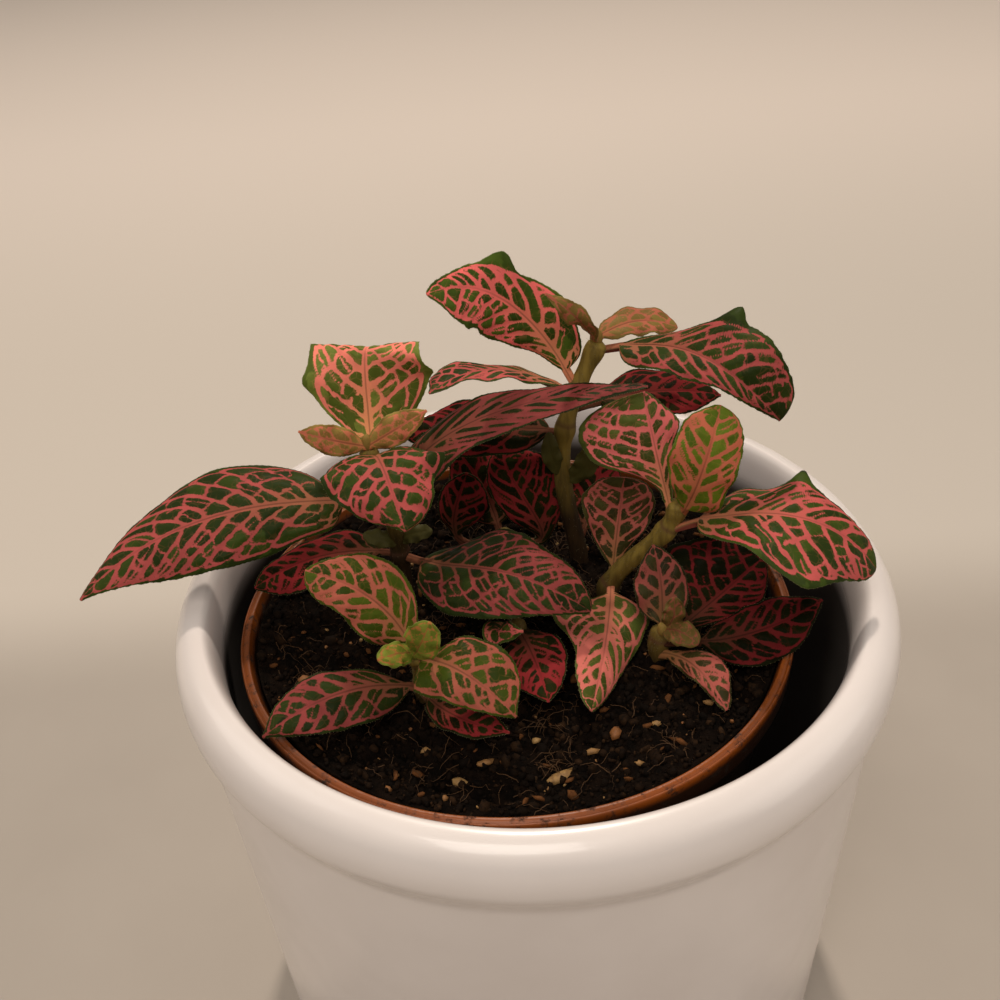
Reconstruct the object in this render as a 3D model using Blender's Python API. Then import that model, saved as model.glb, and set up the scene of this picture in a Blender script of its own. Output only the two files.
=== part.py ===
"""Potted nerve plant: seven leafy stems in potting mix, in a thin plastic pot that stands in a
white glazed cover pot. Metres, +Z up, with the origin in the middle of the cover pot's flat
underside and the photographed side towards -Y. Named sizes are in millimetres."""

from dataclasses import dataclass
from math import cos, pi, radians, sin

import bpy
import numpy as np

MM = 0.001
GAP = 0.3

# Cover pot: body, rolled lip of oval section that runs softly into the body, floor
COVER_HEIGHT = 128.0
LIP_RADIUS = 78.0
LIP_HALF_WIDTH = 4.8
LIP_INNER_DROP = 10.2
LIP_OUTER_DROP = 9.0
LIP_FOOT = 8.0
BODY_TOP_RADIUS = 75.5
BODY_TOP = 98.0
BODY_BASE_RADIUS = 72.2
COVER_WALL = 7.0
COVER_FLOOR = 10.0
COVER_FILLET = 6.0
COVER_CHAMFER = 1.5
COVER_STEPS = 48

# Plastic pot, standing a little off the middle
INNER_OFFSET = (-4.0, -4.5)
INNER_HEIGHT = 110.0
INNER_BASE_RADIUS = 43.0
INNER_NECK_RADIUS = 58.2
INNER_RIM_RADIUS = 60.0
INNER_RIM_DEPTH = 6.5
INNER_WALL = 1.2
INNER_STEPS = 44
DRAIN_HOLES = 8
DRAIN_HOLE_RADIUS = 3.5
DRAIN_CIRCLE_RADIUS = 29.0

# Potting mix
MIX_TOP = 114.0
MIX_MOUND = 1.2
MIX_BANK = 2.4
MIX_RINGS = 9
MIX_SPOKES = 34
MIX_LUMPS = 70
MIX_CRUMBS = 14
MIX_SEED = 5

# Stems and leaves
STEM_SIDES = 8
STEM_STATIONS = 11
STEM_SWELL = 0.6
SWELL_LENGTH = 2.2
BLADE_THICKNESS = 0.75
STALK_THICKNESS = 1.5
STALK_HALF_WIDTH = 0.9
TIP_HALF_WIDTH = 0.35
PEAK_SPREAD = 0.055


@dataclass
class Stem:
    """A stem: points on its axis from the root end up, and its radius at both ends."""
    axis: tuple
    radius: tuple = (2.1, 1.5)
    nodes: tuple = ()


@dataclass
class Leaf:
    """A leaf: midrib points from the stem's axis to the tip, half widths left and right of the
    midrib (the greatest one, or seven from base to tip), and the directions that its upper face
    looks in at the base and the tip. A peak on the margin is (side, place, out, up)."""
    stem: str
    rib: tuple
    width: tuple
    face: tuple
    stalk: float = 0.06
    swell: tuple = (0.6, 0.6)
    taper: tuple = (0.8, 0.8)
    fold: tuple = (10, 10)
    curl: tuple = (30, 30)
    wave: tuple = (0.6, 3.0)
    peaks: tuple = ()
    cells: tuple = (10, 4)


STEMS = {
    "stem_left": Stem(
        ((-29, 7, 108), (-29, 7, 118), (-29, 7, 127), (-30, 5, 142), (-32, 3, 157)),
        nodes=(127, 142, 156)),
    "stem_back": Stem(
        ((12, 16, 108), (12, 16, 118), (9, 18, 146), (12, 19, 158), (17, 20, 169)),
        radius=(2.2, 1.7), nodes=(150, 159, 168)),
    "stem_right": Stem(
        ((17, 2, 108), (17, 2, 116), (24, -1, 129), (29, -3, 136), (31, -4, 143)),
        radius=(2.2, 1.7), nodes=(118, 136, 142)),
    "stem_front": Stem(
        ((-24, -26, 108), (-24, -26, 118), (-24, -31, 131)),
        radius=(1.9, 1.5), nodes=(118, 131)),
    "stem_low": Stem(
        ((25, -19, 108), (25, -19, 114), (26, -18, 121)),
        radius=(1.9, 1.5), nodes=(118, 121)),
    "stem_centre": Stem(
        ((-6, 23, 108), (-6, 23, 113), (-5, 23, 119)),
        radius=(1.8, 1.5), nodes=(117,)),
    "stem_middle": Stem(
        ((-4, -13, 108), (-4, -13, 114), (-4, -14, 122)),
        radius=(1.8, 1.4), nodes=(121,)),
}

LEAVES = {
    "leaf_left_upright": Leaf(
        "stem_left", ((-32, 4, 155), (-32, 13, 167), (-31.5, 14, 173), (-29, 23.5, 163)),
        ((1, 5.5, 10.5, 12, 13, 10, 5), (2.5, 8, 12, 13.5, 12, 9, 4)),
        ((0.2, -0.9, 0.3), (-0.2, 0.2, 1)), stalk=0.08, fold=(5, 5), curl=(10, 10),
        peaks=((-1, 0.41, 1.5, 0.5), (1, 0.5, 1, 0.5)), cells=(12, 6)),
    "leaf_left_heart": Leaf(
        "stem_left", ((-31, 2.5, 153.5), (-28.5, -8.5, 161.5), (-24, -21, 153.5)),
        ((1, 6.5, 12, 13, 9.5, 8, 4.5), (5, 10.5, 12.5, 12, 10.5, 7, 2)),
        ((0.1, -0.5, 0.9), (0.2, -0.8, 0.6)), stalk=0.14, fold=(28, 0), curl=(50, 40), wave=(1, 3.5),
        cells=(12, 6)),
    "leaf_left_long": Leaf(
        "stem_left", ((-30, 5, 142), (-52.5, 1, 147), (-71.5, -2, 145), (-94, -11, 134.5)),
        ((6, 8.5, 11, 11.5, 9, 5, 1.5), (3.5, 10, 13, 13.5, 8.5, 4, 1.5)),
        ((0.1, -0.5, 0.8), (-0.2, -0.5, 0.8)), stalk=0.14, fold=(8, 0), curl=(60, 30), cells=(14, 6)),
    "leaf_left_under": Leaf(
        "stem_left", ((-29, 7, 127), (-47, 5.5, 129), (-61.5, 1.5, 124.5)),
        ((1, 4, 7, 7.5, 7, 5, 2), (2, 4.5, 6.5, 5, 4.5, 3.5, 1.5)), ((0, -0.4, 0.9), (0, -0.4, 0.9)),
        stalk=0.1),
    "leaf_left_arching": Leaf(
        "stem_left", ((-30, 5, 142), (-21.5, 7, 153), (2.5, 6.5, 164), (25.5, 3.5, 167.5)),
        ((2, 4, 6, 6, 4, 2, 1.5), (5, 7.5, 7.5, 6, 5.5, 2, 1)), ((0, -0.3, 0.9), (0, -0.2, 1)),
        stalk=0.06, fold=(8, 8), curl=(20, 20), cells=(12, 6)),
    "leaf_left_wide": Leaf(
        "stem_left", ((-29, 7, 127), (-18.5, -2.5, 130.5), (-7, -13.5, 136.5), (11, -20.5, 130)),
        ((6.5, 10, 13.5, 11.5, 8.5, 7, 3.5), (5, 8.5, 11, 11.5, 9, 5.5, 2)),
        ((0.1, -0.3, 1), (-0.1, -0.5, 0.8)), stalk=0.14, curl=(50, 30), cells=(12, 6)),
    "leaf_back_upper": Leaf(
        "stem_back", ((12, 19, 161), (3.5, 19.5, 175.5), (-5.5, 15.5, 185), (-17, 7, 189)),
        ((1.5, 3.5, 6.5, 8.5, 7.5, 6.5, 2.5), (4.5, 7, 8.5, 6.5, 5.5, 3, 1.5)),
        ((-0.4, -0.7, 0.6), (0.1, -0.9, 0.5)), stalk=0.08, fold=(8, 5), curl=(20, 20),
        peaks=((1, 0.62, 3, 0), (-1, 0.75, 1, 0)), cells=(16, 6)),
    "leaf_back_right": Leaf(
        "stem_back", ((17, 20, 168), (31, 12.5, 171.5), (36.5, 5, 172.5), (51.5, -1.5, 160.5)),
        ((1, 2.5, 5.5, 9, 10.5, 8.5, 5.5), (4.5, 6.5, 7, 6, 4, 2.5, 1)),
        ((0, -0.3, 1), (-0.4, -0.7, 0.6)), stalk=0.1, fold=(25, 15), curl=(40, 30),
        peaks=((-1, 0.52, 3.5, 0.5),), cells=(16, 6)),
    "leaf_back_shaded": Leaf(
        "stem_back", ((11, 19, 154), (28, 20, 157), (44, 18, 156)), (8, 8),
        ((0, -0.3, 1), (0, -0.3, 1)), stalk=0.2),
    "leaf_back_narrow": Leaf(
        "stem_back", ((12, 19, 158), (-6.5, 20, 165), (-19, 12.5, 164.5)),
        ((2, 3, 5.5, 5.5, 4, 2.5, 1), (2.5, 3, 3.5, 6, 8.5, 6.5, 1.5)), ((0, 0.2, 1), (0, 0.1, 1)),
        stalk=0.1, fold=(12, 12)),
    "leaf_back_dim": Leaf(
        "stem_back", ((10, 18, 149), (-9, 21, 150.5), (-27, 23, 148.5)), (8, 9),
        ((0, -0.4, 1), (0, -0.4, 1)), stalk=0.1),
    "leaf_back_deep": Leaf(
        "stem_centre", ((-6, 23, 117), (-10, 31, 128), (-16, 35, 137)), (8, 8),
        ((0, -0.8, 0.5), (0, -0.8, 0.6)), stalk=0.15),
    "leaf_right_deep": Leaf(
        "stem_back", ((12, 16, 120), (17, 25, 128), (20, 32, 136)), (7, 7),
        ((0, -0.8, 0.5), (0, -0.8, 0.6)), stalk=0.15),
    "leaf_right_broad": Leaf(
        "stem_right", ((30, -4, 141), (27, 0, 154), (25, 6, 165)),
        ((1, 1.5, 6, 13.5, 15.5, 14, 8.5), (1, 1.5, 2.5, 4, 6, 3.5, 1.5)),
        ((-0.3, -0.9, 0.4), (-0.3, -0.8, 0.6)), stalk=0.1, fold=(15, 5), curl=(20, 20)),
    "leaf_right_round": Leaf(
        "stem_right", ((32, -5, 142), (34, -9.5, 153), (39, -2.5, 165.5)),
        ((3, 4, 6, 7.5, 7, 6, 2.5), (4.5, 6.5, 6.5, 7, 7, 6, 4)), ((-0.2, -0.9, 0.5), (0, -0.9, 0.3)),
        stalk=0.1),
    "leaf_right_long": Leaf(
        "stem_right", ((29, -3, 136), (35.5, -8.5, 142), (48.5, -17, 148.5), (67, -22.5, 137.5)),
        ((8, 11, 10, 10.5, 8.5, 5.5, 4), (4, 6.5, 9.5, 14, 14.5, 9, 4.5)),
        ((0.1, -0.1, 1), (0.3, -0.4, 0.9)), stalk=0.2, peaks=((-1, 0.49, 3.5, 0.5), (1, 0.67, 1, 0)),
        cells=(16, 6)),
    "leaf_right_inner": Leaf(
        "stem_right", ((18, 2, 118), (20, 7.5, 128.5), (22, 11, 141)),
        ((1, 3, 5.5, 7.5, 9, 7.5, 5), (1, 2.5, 4.5, 7, 8, 7, 4.5)), ((-0.1, -0.9, 0.4), (0, -0.9, 0.4)),
        stalk=0.15),
    "leaf_right_pink": Leaf(
        "stem_right", ((18, 2, 119), (14, -20, 120.5), (9, -38.5, 120.5)),
        ((1, 9, 8.5, 7, 5, 3.5, 1.5), (1, 9.5, 12.5, 9, 6, 4.5, 3)),
        ((-0.2, -0.7, 0.6), (0.4, -0.8, 0.5)), stalk=0.08, curl=(35, 50)),
    "leaf_low_dark": Leaf(
        "stem_low", ((26, -18, 117.5), (39, -9.5, 121.5), (52, 0, 125)),
        ((7, 11.5, 14.5, 15.5, 13, 9.5, 5.5), (1, 2.5, 4.5, 6.5, 7, 4.5, 1.5)),
        ((0.1, -0.5, 0.9), (0.1, -0.5, 0.9)), stalk=0.15),
    "leaf_low_pale": Leaf(
        "stem_low", ((26, -17.5, 120), (27, -11, 127), (26, -5, 134)), (6, 6),
        ((0, -0.7, 0.7), (0, -0.7, 0.7)), stalk=0.1),
    "leaf_low_right": Leaf(
        "stem_low", ((25, -19, 119), (41, -23, 122.8), (58.5, -19.5, 128)),
        ((1.5, 4.5, 5.5, 6, 6, 3.5, 1.5), (1.5, 4.5, 7, 7, 6, 3, 1)),
        ((0, -0.4, 0.9), (0.1, -0.4, 0.9)), stalk=0.25),
    "leaf_low_small": Leaf(
        "stem_low", ((25, -19, 115.3), (31.5, -30, 121), (35.5, -38.5, 118)),
        ((1, 2.5, 3.5, 5.5, 5, 3, 1.5), (1, 2, 2.5, 2.5, 2, 1.5, 1)), ((0, -0.5, 0.9), (0, -0.8, 0.6)),
        stalk=0.15, curl=(50, 50)),
    "leaf_front_left": Leaf(
        "stem_front", ((-24, -30, 129), (-30.5, -27.5, 142), (-43.5, -24.5, 148.5)),
        ((3, 6, 7, 6.5, 5.5, 5, 3), (2, 4, 7, 8, 7, 4, 1.5)), ((-0.1, -0.5, 0.9), (-0.2, -0.6, 0.8)),
        stalk=0.12),
    "leaf_front_right": Leaf(
        "stem_front", ((-24, -31, 130), (-17.5, -37, 133.5), (-5.5, -46.5, 128.5)),
        ((1.5, 5.5, 8.2, 8.4, 8.2, 5.6, 1.4), (6, 7.2, 7, 6.4, 5, 3.2, 1.2)),
        ((0.3, -0.5, 0.8), (0.1, -0.6, 0.8)), stalk=0.1, curl=(40, 30)),
    "leaf_front_low": Leaf(
        "stem_front", ((-24, -27, 118), (-38.5, -34.5, 126), (-54, -41, 122)),
        ((2.5, 5.5, 7, 7, 6, 3.5, 1), (1, 2.5, 4, 5.5, 5.5, 4, 1)),
        ((0.1, -0.5, 0.8), (0.1, -0.5, 0.9)), stalk=0.1, curl=(40, 30)),
    "leaf_front_under": Leaf(
        "stem_front", ((-24, -27, 117), (-14, -41, 122), (-7, -46, 124)), (5, 3.5),
        ((0, -0.4, 1), (0, -0.4, 1)), stalk=0.1),
    "leaf_centre_left": Leaf(
        "stem_centre", ((-6, 23, 117), (-17, 22, 121), (-16, 22, 129.5), (-13, 21, 138.5)),
        ((1, 1.5, 3.5, 4.5, 4, 2.5, 1), (2, 4, 6.5, 8, 7, 4.5, 2)), ((0, -0.8, 0.5), (0, -0.9, 0.4)),
        stalk=0.35),
    "leaf_centre_right": Leaf(
        "stem_centre", ((-5, 23, 118), (3.5, 20, 119), (1, 18.5, 129.5), (-4, 26, 142)),
        ((1, 1.5, 4, 6, 6.5, 4.5, 2), (1, 2, 5, 11, 11, 7.5, 4)), ((0, -0.9, 0.5), (-0.2, -0.9, 0.4)),
        stalk=0.16),
    "leaf_middle_red": Leaf(
        "stem_middle", ((-4, -14, 121), (-1, -26, 123), (1, -36, 121)), (7, 7),
        ((0, -0.6, 0.8), (0, -0.6, 0.8)), stalk=0.1),
    "leaf_middle_small": Leaf(
        "stem_middle", ((-4, -14, 121.5), (-8, -20, 126), (-3, -25, 130)), (3.4, 3.4),
        ((0, -0.6, 0.8), (0, -0.6, 0.8)), stalk=0.1),
}

# Young leaves, fused in pairs with the bud between them
TIPS = {
    "tip_left": {
        "bud": ((-32, 2.6, 159.4), (1.3, 1.2, 2.0)),
        "leaves": (
            Leaf("stem_left", ((-32, 2.6, 158.6), (-39, -1, 163), (-44, -4, 167)), (3.2, 3.2),
                 ((-0.2, -0.9, 0.6), (0, -0.8, 0.6)), cells=(6, 2)),
            Leaf("stem_left", ((-32, 2.6, 158.6), (-25, 0, 164), (-19, -1, 168)), (3.4, 3.2),
                 ((0.2, -0.9, 0.6), (0, -0.8, 0.6)), cells=(6, 2)))},
    "tip_back": {
        "bud": ((17, 20, 171), (1.4, 1.3, 2.2)),
        "leaves": (
            Leaf("stem_back", ((17, 20, 170.5), (25, 23, 172.5), (35, 24, 170)), (4.5, 3.5),
                 ((0, -0.5, 1), (0, -0.5, 1)), swell=(0.5, 0.5), taper=(0.5, 0.5), cells=(6, 2)),
            Leaf("stem_back", ((17, 20, 170.5), (13, 14, 178), (6, 10, 186)), (2.5, 2.5),
                 ((-0.6, -0.7, 0.3), (-0.3, -0.6, 0.8)), cells=(6, 2)))},
    "tip_front": {
        "bud": ((-24, -32, 133), (1.2, 1.2, 1.8)),
        "leaves": (
            Leaf("stem_front", ((-24, -32, 132.5), (-22, -36, 139), (-20, -36.5, 144)), (3.8, 3.8),
                 ((0, -0.7, 0.6), (0, -0.7, 0.6)), swell=(0.5, 0.5), taper=(0.5, 0.5),
                 cells=(6, 2)),
            Leaf("stem_front", ((-24, -32, 132.5), (-27, -34.5, 135), (-30.5, -37, 136)), (2.6, 2.6),
                 ((0, -0.6, 0.8), (0, -0.6, 0.8)), swell=(0.5, 0.5), taper=(0.5, 0.5),
                 cells=(6, 2)))},
    "tip_low": {
        "bud": ((26, -19.5, 123), (1.2, 1.2, 1.8)),
        "leaves": (
            Leaf("stem_low", ((26, -19.5, 122.5), (29, -23, 125), (32, -26, 124)), (3, 3),
                 ((0, -0.6, 1), (0, -0.6, 1)), swell=(0.5, 0.5), taper=(0.5, 0.5), cells=(6, 2)),
            Leaf("stem_low", ((26, -19.5, 122.5), (28, -20, 127), (28, -19, 131)), (2.4, 2.4),
                 ((0, -0.9, 0.4), (0, -0.9, 0.4)), swell=(0.5, 0.5), taper=(0.5, 0.5),
                 cells=(6, 2)))},
}

# Small olive scale leaves in pairs, each pair part of its stem's node
BRACTS = (
    Leaf("stem_left", ((-29, 7, 131), (-32, 4, 134), (-36, 3, 136)), (2.2, 2.2),
         ((0, -0.6, 0.8), (0, -0.6, 0.8)), swell=(0.5, 0.5), taper=(0.5, 0.5), cells=(5, 2)),
    Leaf("stem_left", ((-29, 7, 131), (-25, 5, 134), (-21, 4, 135)), (2.2, 2.2),
         ((0, -0.6, 0.8), (0, -0.6, 0.8)), swell=(0.5, 0.5), taper=(0.5, 0.5), cells=(5, 2)),
    Leaf("stem_back", ((9.5, 17.5, 139), (6.5, 14.5, 145), (6, 14, 152)), (2.2, 2.2),
         ((0, -0.9, 0.4), (0, -0.9, 0.4)), swell=(0.5, 0.5), taper=(0.5, 0.5), cells=(5, 2)),
    Leaf("stem_back", ((9.5, 17.5, 137), (13.5, 14.5, 142), (15, 14, 149)), (2.8, 2.8),
         ((0, -0.9, 0.4), (0, -0.9, 0.4)), swell=(0.5, 0.5), taper=(0.5, 0.5), cells=(5, 2)),
)


def linear(value):
    """One channel of an sRGB colour from 0 to 255, as the linear value from 0 to 1."""
    c = value / 255
    return c / 12.92 if c <= 0.04045 else ((c + 0.055) / 1.055) ** 2.4


def finish(name, rgb, roughness):
    """A Principled material of one colour."""
    made = bpy.data.materials.new(name)
    made.use_nodes = True
    shader = made.node_tree.nodes["Principled BSDF"]
    shader.inputs["Base Color"].default_value = (*(linear(c) for c in rgb), 1)
    shader.inputs["Roughness"].default_value = roughness
    shader.inputs["Metallic"].default_value = 0.0
    made.diffuse_color = (*(linear(c) for c in rgb), 1)
    return made


def add_object(name, points, faces, material, origin=(0, 0, 0), smooth=60):
    """A mesh object from points in millimetres, with its own origin."""
    mesh = bpy.data.meshes.new(name)
    offsets = (np.asarray(points, float) - np.asarray(origin, float)) * MM
    mesh.from_pydata([tuple(p) for p in offsets], [], [tuple(int(i) for i in f) for f in faces])
    mesh.validate()
    mesh.update()
    if smooth:
        mesh.shade_smooth()
        mesh.set_sharp_from_angle(angle=radians(smooth))
    mesh.materials.append(material)
    made = bpy.data.objects.new(name, mesh)
    made.location = np.asarray(origin, float) * MM
    bpy.context.scene.collection.objects.link(made)
    return made


def combine(target, other, operation):
    """Cut the other object from the target, or join it on, and keep the result as its mesh."""
    step = target.modifiers.new(operation.lower(), "BOOLEAN")
    step.operation = operation
    step.solver = "EXACT"
    step.object = other
    view = bpy.context.evaluated_depsgraph_get()
    result = bpy.data.meshes.new_from_object(target.evaluated_get(view))
    target.modifiers.clear()
    target.data = result


def discard(thing):
    """Remove a helper object."""
    bpy.data.objects.remove(thing, do_unlink=True)


def turned(name, profile, steps, material, origin=(0, 0, 0)):
    """A round body: the profile (radius, height) runs from the axis, up the inside, over the
    edge and down the outside, back to the axis."""
    mesh = bpy.data.meshes.new(name)
    edges = [(i, i + 1) for i in range(len(profile) - 1)]
    mesh.from_pydata([(r * MM, 0.0, z * MM) for r, z in profile], edges, [])
    mesh.materials.append(material)
    made = bpy.data.objects.new(name, mesh)
    made.location = np.asarray(origin, float) * MM
    bpy.context.scene.collection.objects.link(made)
    screw = made.modifiers.new("turn", "SCREW")
    screw.axis = "Z"
    screw.steps = steps
    screw.render_steps = steps
    screw.use_merge_vertices = True
    screw.merge_threshold = 0.0001
    screw.use_smooth_shade = True
    return made


def unit(v):
    return v / np.linalg.norm(v, axis=-1, keepdims=True)


def curve_through(points, s):
    """Positions and directions at s (0 to 1) on the curve p(s) = sum of p_i * L_i(s), with L_i
    the Lagrange polynomials on the points' chord lengths."""
    p = np.array(points, float)
    steps = np.linalg.norm(np.diff(p, axis=0), axis=1)
    knots = np.concatenate([[0], np.cumsum(steps)]) / steps.sum()
    position = np.zeros((len(s), 3))
    direction = np.zeros((len(s), 3))
    for i, at in enumerate(knots):
        value = np.ones_like(s)
        slope = np.zeros_like(s)
        for j, other in enumerate(knots):
            if j == i:
                continue
            slope = (slope * (s - other) + value) / (at - other)
            value = value * (s - other) / (at - other)
        position += value[:, None] * p[i]
        direction += slope[:, None] * p[i]
    return position, unit(direction)


def half_width(t, width, swell, taper):
    """Half width in mm at t, from the stalk's end (0) to the tip (1).

    One number is the greatest half width of t^swell (1 - t)^taper. Several numbers are half
    widths at t = (1 - cos(pi k / n)) / 2, joined by a smooth curve that ends at 0."""
    if isinstance(width, tuple):
        known = np.array([0, *width, 0], float)
        place = np.arccos(1 - 2 * np.clip(t, 0, 1)) / pi * (len(known) - 1)
        first = np.minimum(place.astype(int), len(known) - 2)
        f = place - first
        slope = np.gradient(known)
        a, b = known[first], known[first + 1]
        rise, fall = slope[first], slope[first + 1]
        curve = a + f * rise + f ** 2 * (3 * (b - a) - 2 * rise - fall) \
            + f ** 3 * (2 * (a - b) + rise + fall)
        return np.maximum(curve, 0)
    top = swell / (swell + taper)
    return width * t ** swell * (1 - t) ** taper / (top ** swell * (1 - top) ** taper)


def leaf_surface(leaf, s, u):
    """Points and upper normals of a leaf at s along it (0 to 1) and u across it (-1 to 1).

    Across the midrib the blade is an arc: it leaves the rib at the fold angle and turns down by
    the curl angle at the margin. Waves and peaks move the margin along the blade's normal."""
    rib, along = curve_through(leaf.rib, s)
    mix = s[:, None]
    look = unit(np.array(leaf.face[0], float)) * (1 - mix) + unit(np.array(leaf.face[1], float)) * mix
    right = unit(np.cross(along, look))
    up = np.cross(right, along)
    t = np.clip((s - leaf.stalk) / (1 - leaf.stalk), 0, 1)
    left_part, right_part = (
        half_width(t, leaf.width[i], leaf.swell[i], leaf.taper[i]) for i in (0, 1))
    ss, uu = s[:, None], u[None, :]
    v = np.abs(uu)
    width = np.where(uu < 0, left_part[:, None], right_part[:, None])
    raised = np.zeros_like(width)
    for side, at, out, rise in leaf.peaks:
        bell = (uu * side > 0) * np.exp(-((t[:, None] - at) / PEAK_SPREAD) ** 2)
        width = width + out * bell
        raised = raised + rise * v ** 2 * bell
    least = np.where(ss < 0.5, STALK_HALF_WIDTH, TIP_HALF_WIDTH)
    width = np.maximum(width, least)
    fold = np.radians(leaf.fold[0] * (1 - ss) + leaf.fold[1] * ss)
    curl = np.radians(leaf.curl[0] * (1 - ss) + leaf.curl[1] * ss) + 0.001
    across = np.sign(uu) * width * (np.sin(fold) - np.sin(fold - curl * v)) / curl
    height = width * (np.cos(fold - curl * v) - np.cos(fold)) / curl + raised
    size, count = leaf.wave
    phase = 0.7 * leaf.rib[-1][0] + 1.9 * (uu > 0)
    height = height + size * v ** 2 * np.sin(2 * pi * count * ss + phase) * np.sin(pi * ss) ** 0.5
    grid = rib[:, None] + right[:, None] * across[..., None] + up[:, None] * height[..., None]
    slope = fold - curl * v
    normal = (up[:, None] * np.cos(slope)[..., None]
              - right[:, None] * (np.sign(uu) * np.sin(slope))[..., None])
    return grid, normal


def leaf_body(name, leaf, material):
    """A leaf as a closed thin solid, its two faces split into triangles alike."""
    lengthwise, crosswise = leaf.cells
    t = np.linspace(0, 1, lengthwise + 1)
    t = 0.5 * t + 0.25 * (1 - np.cos(pi * t))
    s = np.concatenate([[0], leaf.stalk + (1 - leaf.stalk) * t])
    u = np.linspace(-1, 1, crosswise + 1)
    grid, normal = leaf_surface(leaf, s, u)
    fade = np.clip((s - leaf.stalk) / 0.15, 0, 1)[:, None]
    thick = BLADE_THICKNESS + (STALK_THICKNESS - BLADE_THICKNESS) * (1 - fade) + 0 * u[None]
    half = 0.5 * thick[..., None] * normal
    points = np.concatenate([(grid + half).reshape(-1, 3), (grid - half).reshape(-1, 3)])
    rows, cols = grid.shape[:2]
    index = np.arange(rows * cols).reshape(rows, cols)
    a, b = index[:-1, :-1].ravel(), index[:-1, 1:].ravel()
    c, d = index[1:, 1:].ravel(), index[1:, :-1].ravel()
    upper = np.concatenate([np.stack([a, b, c], 1), np.stack([a, c, d], 1)])
    lower = upper[:, ::-1] + rows * cols
    edge = np.concatenate([index[0, ::-1], index[1:, 0], index[-1, 1:], index[-2:0:-1, -1]])
    follow = np.roll(edge, -1)
    wall = np.stack([edge, follow, follow + rows * cols, edge + rows * cols], 1)
    faces = [*upper, *lower, *wall]
    return add_object(name, points, faces, material, origin=leaf.rib[0], smooth=50)


def stem_body(name, stem, material, grow=0.0):
    """A stem as a tube with swollen nodes and a rounded end; grow makes it fatter and longer."""
    s = np.linspace(0, 1, STEM_STATIONS)
    axis, along = curve_through(stem.axis, s)
    radius = stem.radius[0] * (1 - s) + stem.radius[1] * s
    for height in stem.nodes:
        radius = radius + STEM_SWELL * np.exp(-((axis[:, 2] - height) / SWELL_LENGTH) ** 2)
    axis = np.concatenate([axis, axis[-1:] + along[-1:] * 0.8, axis[-1:] + along[-1:] * 1.4])
    along = np.concatenate([along, along[-1:], along[-1:]])
    radius = np.append(radius, [0.8 * radius[-1], 0.3 * radius[-1]]) + grow
    axis[0] -= along[0] * grow
    axis[-1] += along[-1] * grow
    first = unit(np.cross(np.array([0.0, 1.0, 0.0]), along))
    second = np.cross(along, first)
    turn = np.linspace(0, 2 * pi, STEM_SIDES, endpoint=False)
    rings = axis[:, None] + radius[:, None, None] * (
        first[:, None] * np.cos(turn)[None, :, None] + second[:, None] * np.sin(turn)[None, :, None])
    count = len(axis)
    index = np.arange(count * STEM_SIDES).reshape(count, STEM_SIDES)
    after = np.roll(index, -1, axis=1)
    sides = np.stack([index[:-1], after[:-1], after[1:], index[1:]], -1).reshape(-1, 4)
    faces = [*sides, index[0, ::-1], index[-1]]
    return add_object(name, rings.reshape(-1, 3), faces, material, origin=stem.axis[0], smooth=50)


def bud_body(name, centre, radii, material, bands=5, sides=8):
    """A small oval body, such as a bud."""
    rows = np.linspace(0, pi, bands + 1)[1:-1]
    turn = np.linspace(0, 2 * pi, sides, endpoint=False)
    ring = np.stack([np.outer(np.sin(rows), np.cos(turn)), np.outer(np.sin(rows), np.sin(turn)),
                     np.outer(np.cos(rows), np.ones(sides))], -1).reshape(-1, 3)
    points = np.concatenate([[[0, 0, 1]], ring, [[0, 0, -1]]]) * radii + np.array(centre)
    index = 1 + np.arange(len(rows) * sides).reshape(len(rows), sides)
    after = np.roll(index, -1, axis=1)
    belt = np.stack([index[:-1], index[1:], after[1:], after[:-1]], -1).reshape(-1, 4)
    last = len(points) - 1
    caps = [(0, a, b) for a, b in zip(index[0], after[0])]
    caps += [(last, b, a) for a, b in zip(index[-1], after[-1])]
    return add_object(name, points, [*belt, *caps], material, origin=centre, smooth=50)


def cover_pot(material):
    """The glazed pot: straight, slightly tapering body under a rolled lip of oval section."""
    lip_centre = LIP_RADIUS - LIP_HALF_WIDTH
    lip_inner = LIP_RADIUS - 2 * LIP_HALF_WIDTH
    base_inner = BODY_BASE_RADIUS - COVER_WALL
    fillet = [
        (base_inner - COVER_FILLET * (1 - sin(a)), COVER_FLOOR + COVER_FILLET * (1 - cos(a)))
        for a in (radians(d) for d in (0, 30, 60, 90))]
    lip = [
        (lip_centre + LIP_HALF_WIDTH * cos(a), COVER_HEIGHT + drop * (sin(a) - 1))
        for a, drop in [(radians(d), LIP_INNER_DROP) for d in (180, 155, 130, 110)]
        + [(radians(d), LIP_OUTER_DROP) for d in (90, 70, 50, 25, 0)]]
    foot = [
        (LIP_RADIUS - (LIP_RADIUS - BODY_TOP_RADIUS) * (1 - cos(pi * part)) / 2,
         COVER_HEIGHT - LIP_OUTER_DROP - LIP_FOOT * part)
        for part in (0.25, 0.5, 0.75, 1)]
    profile = [(0, COVER_FLOOR), *fillet, (lip_inner, BODY_TOP), *lip, *foot,
               (BODY_TOP_RADIUS - 0.3, BODY_TOP - 4),
               (BODY_BASE_RADIUS, COVER_CHAMFER), (BODY_BASE_RADIUS - COVER_CHAMFER, 0), (0, 0)]
    return turned("cover_pot", profile, COVER_STEPS, material)


def inner_profile_radius(height):
    """Outer radius of the plastic pot's wall at a height above its base."""
    return INNER_BASE_RADIUS + (INNER_NECK_RADIUS - INNER_BASE_RADIUS) * height / INNER_HEIGHT


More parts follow.
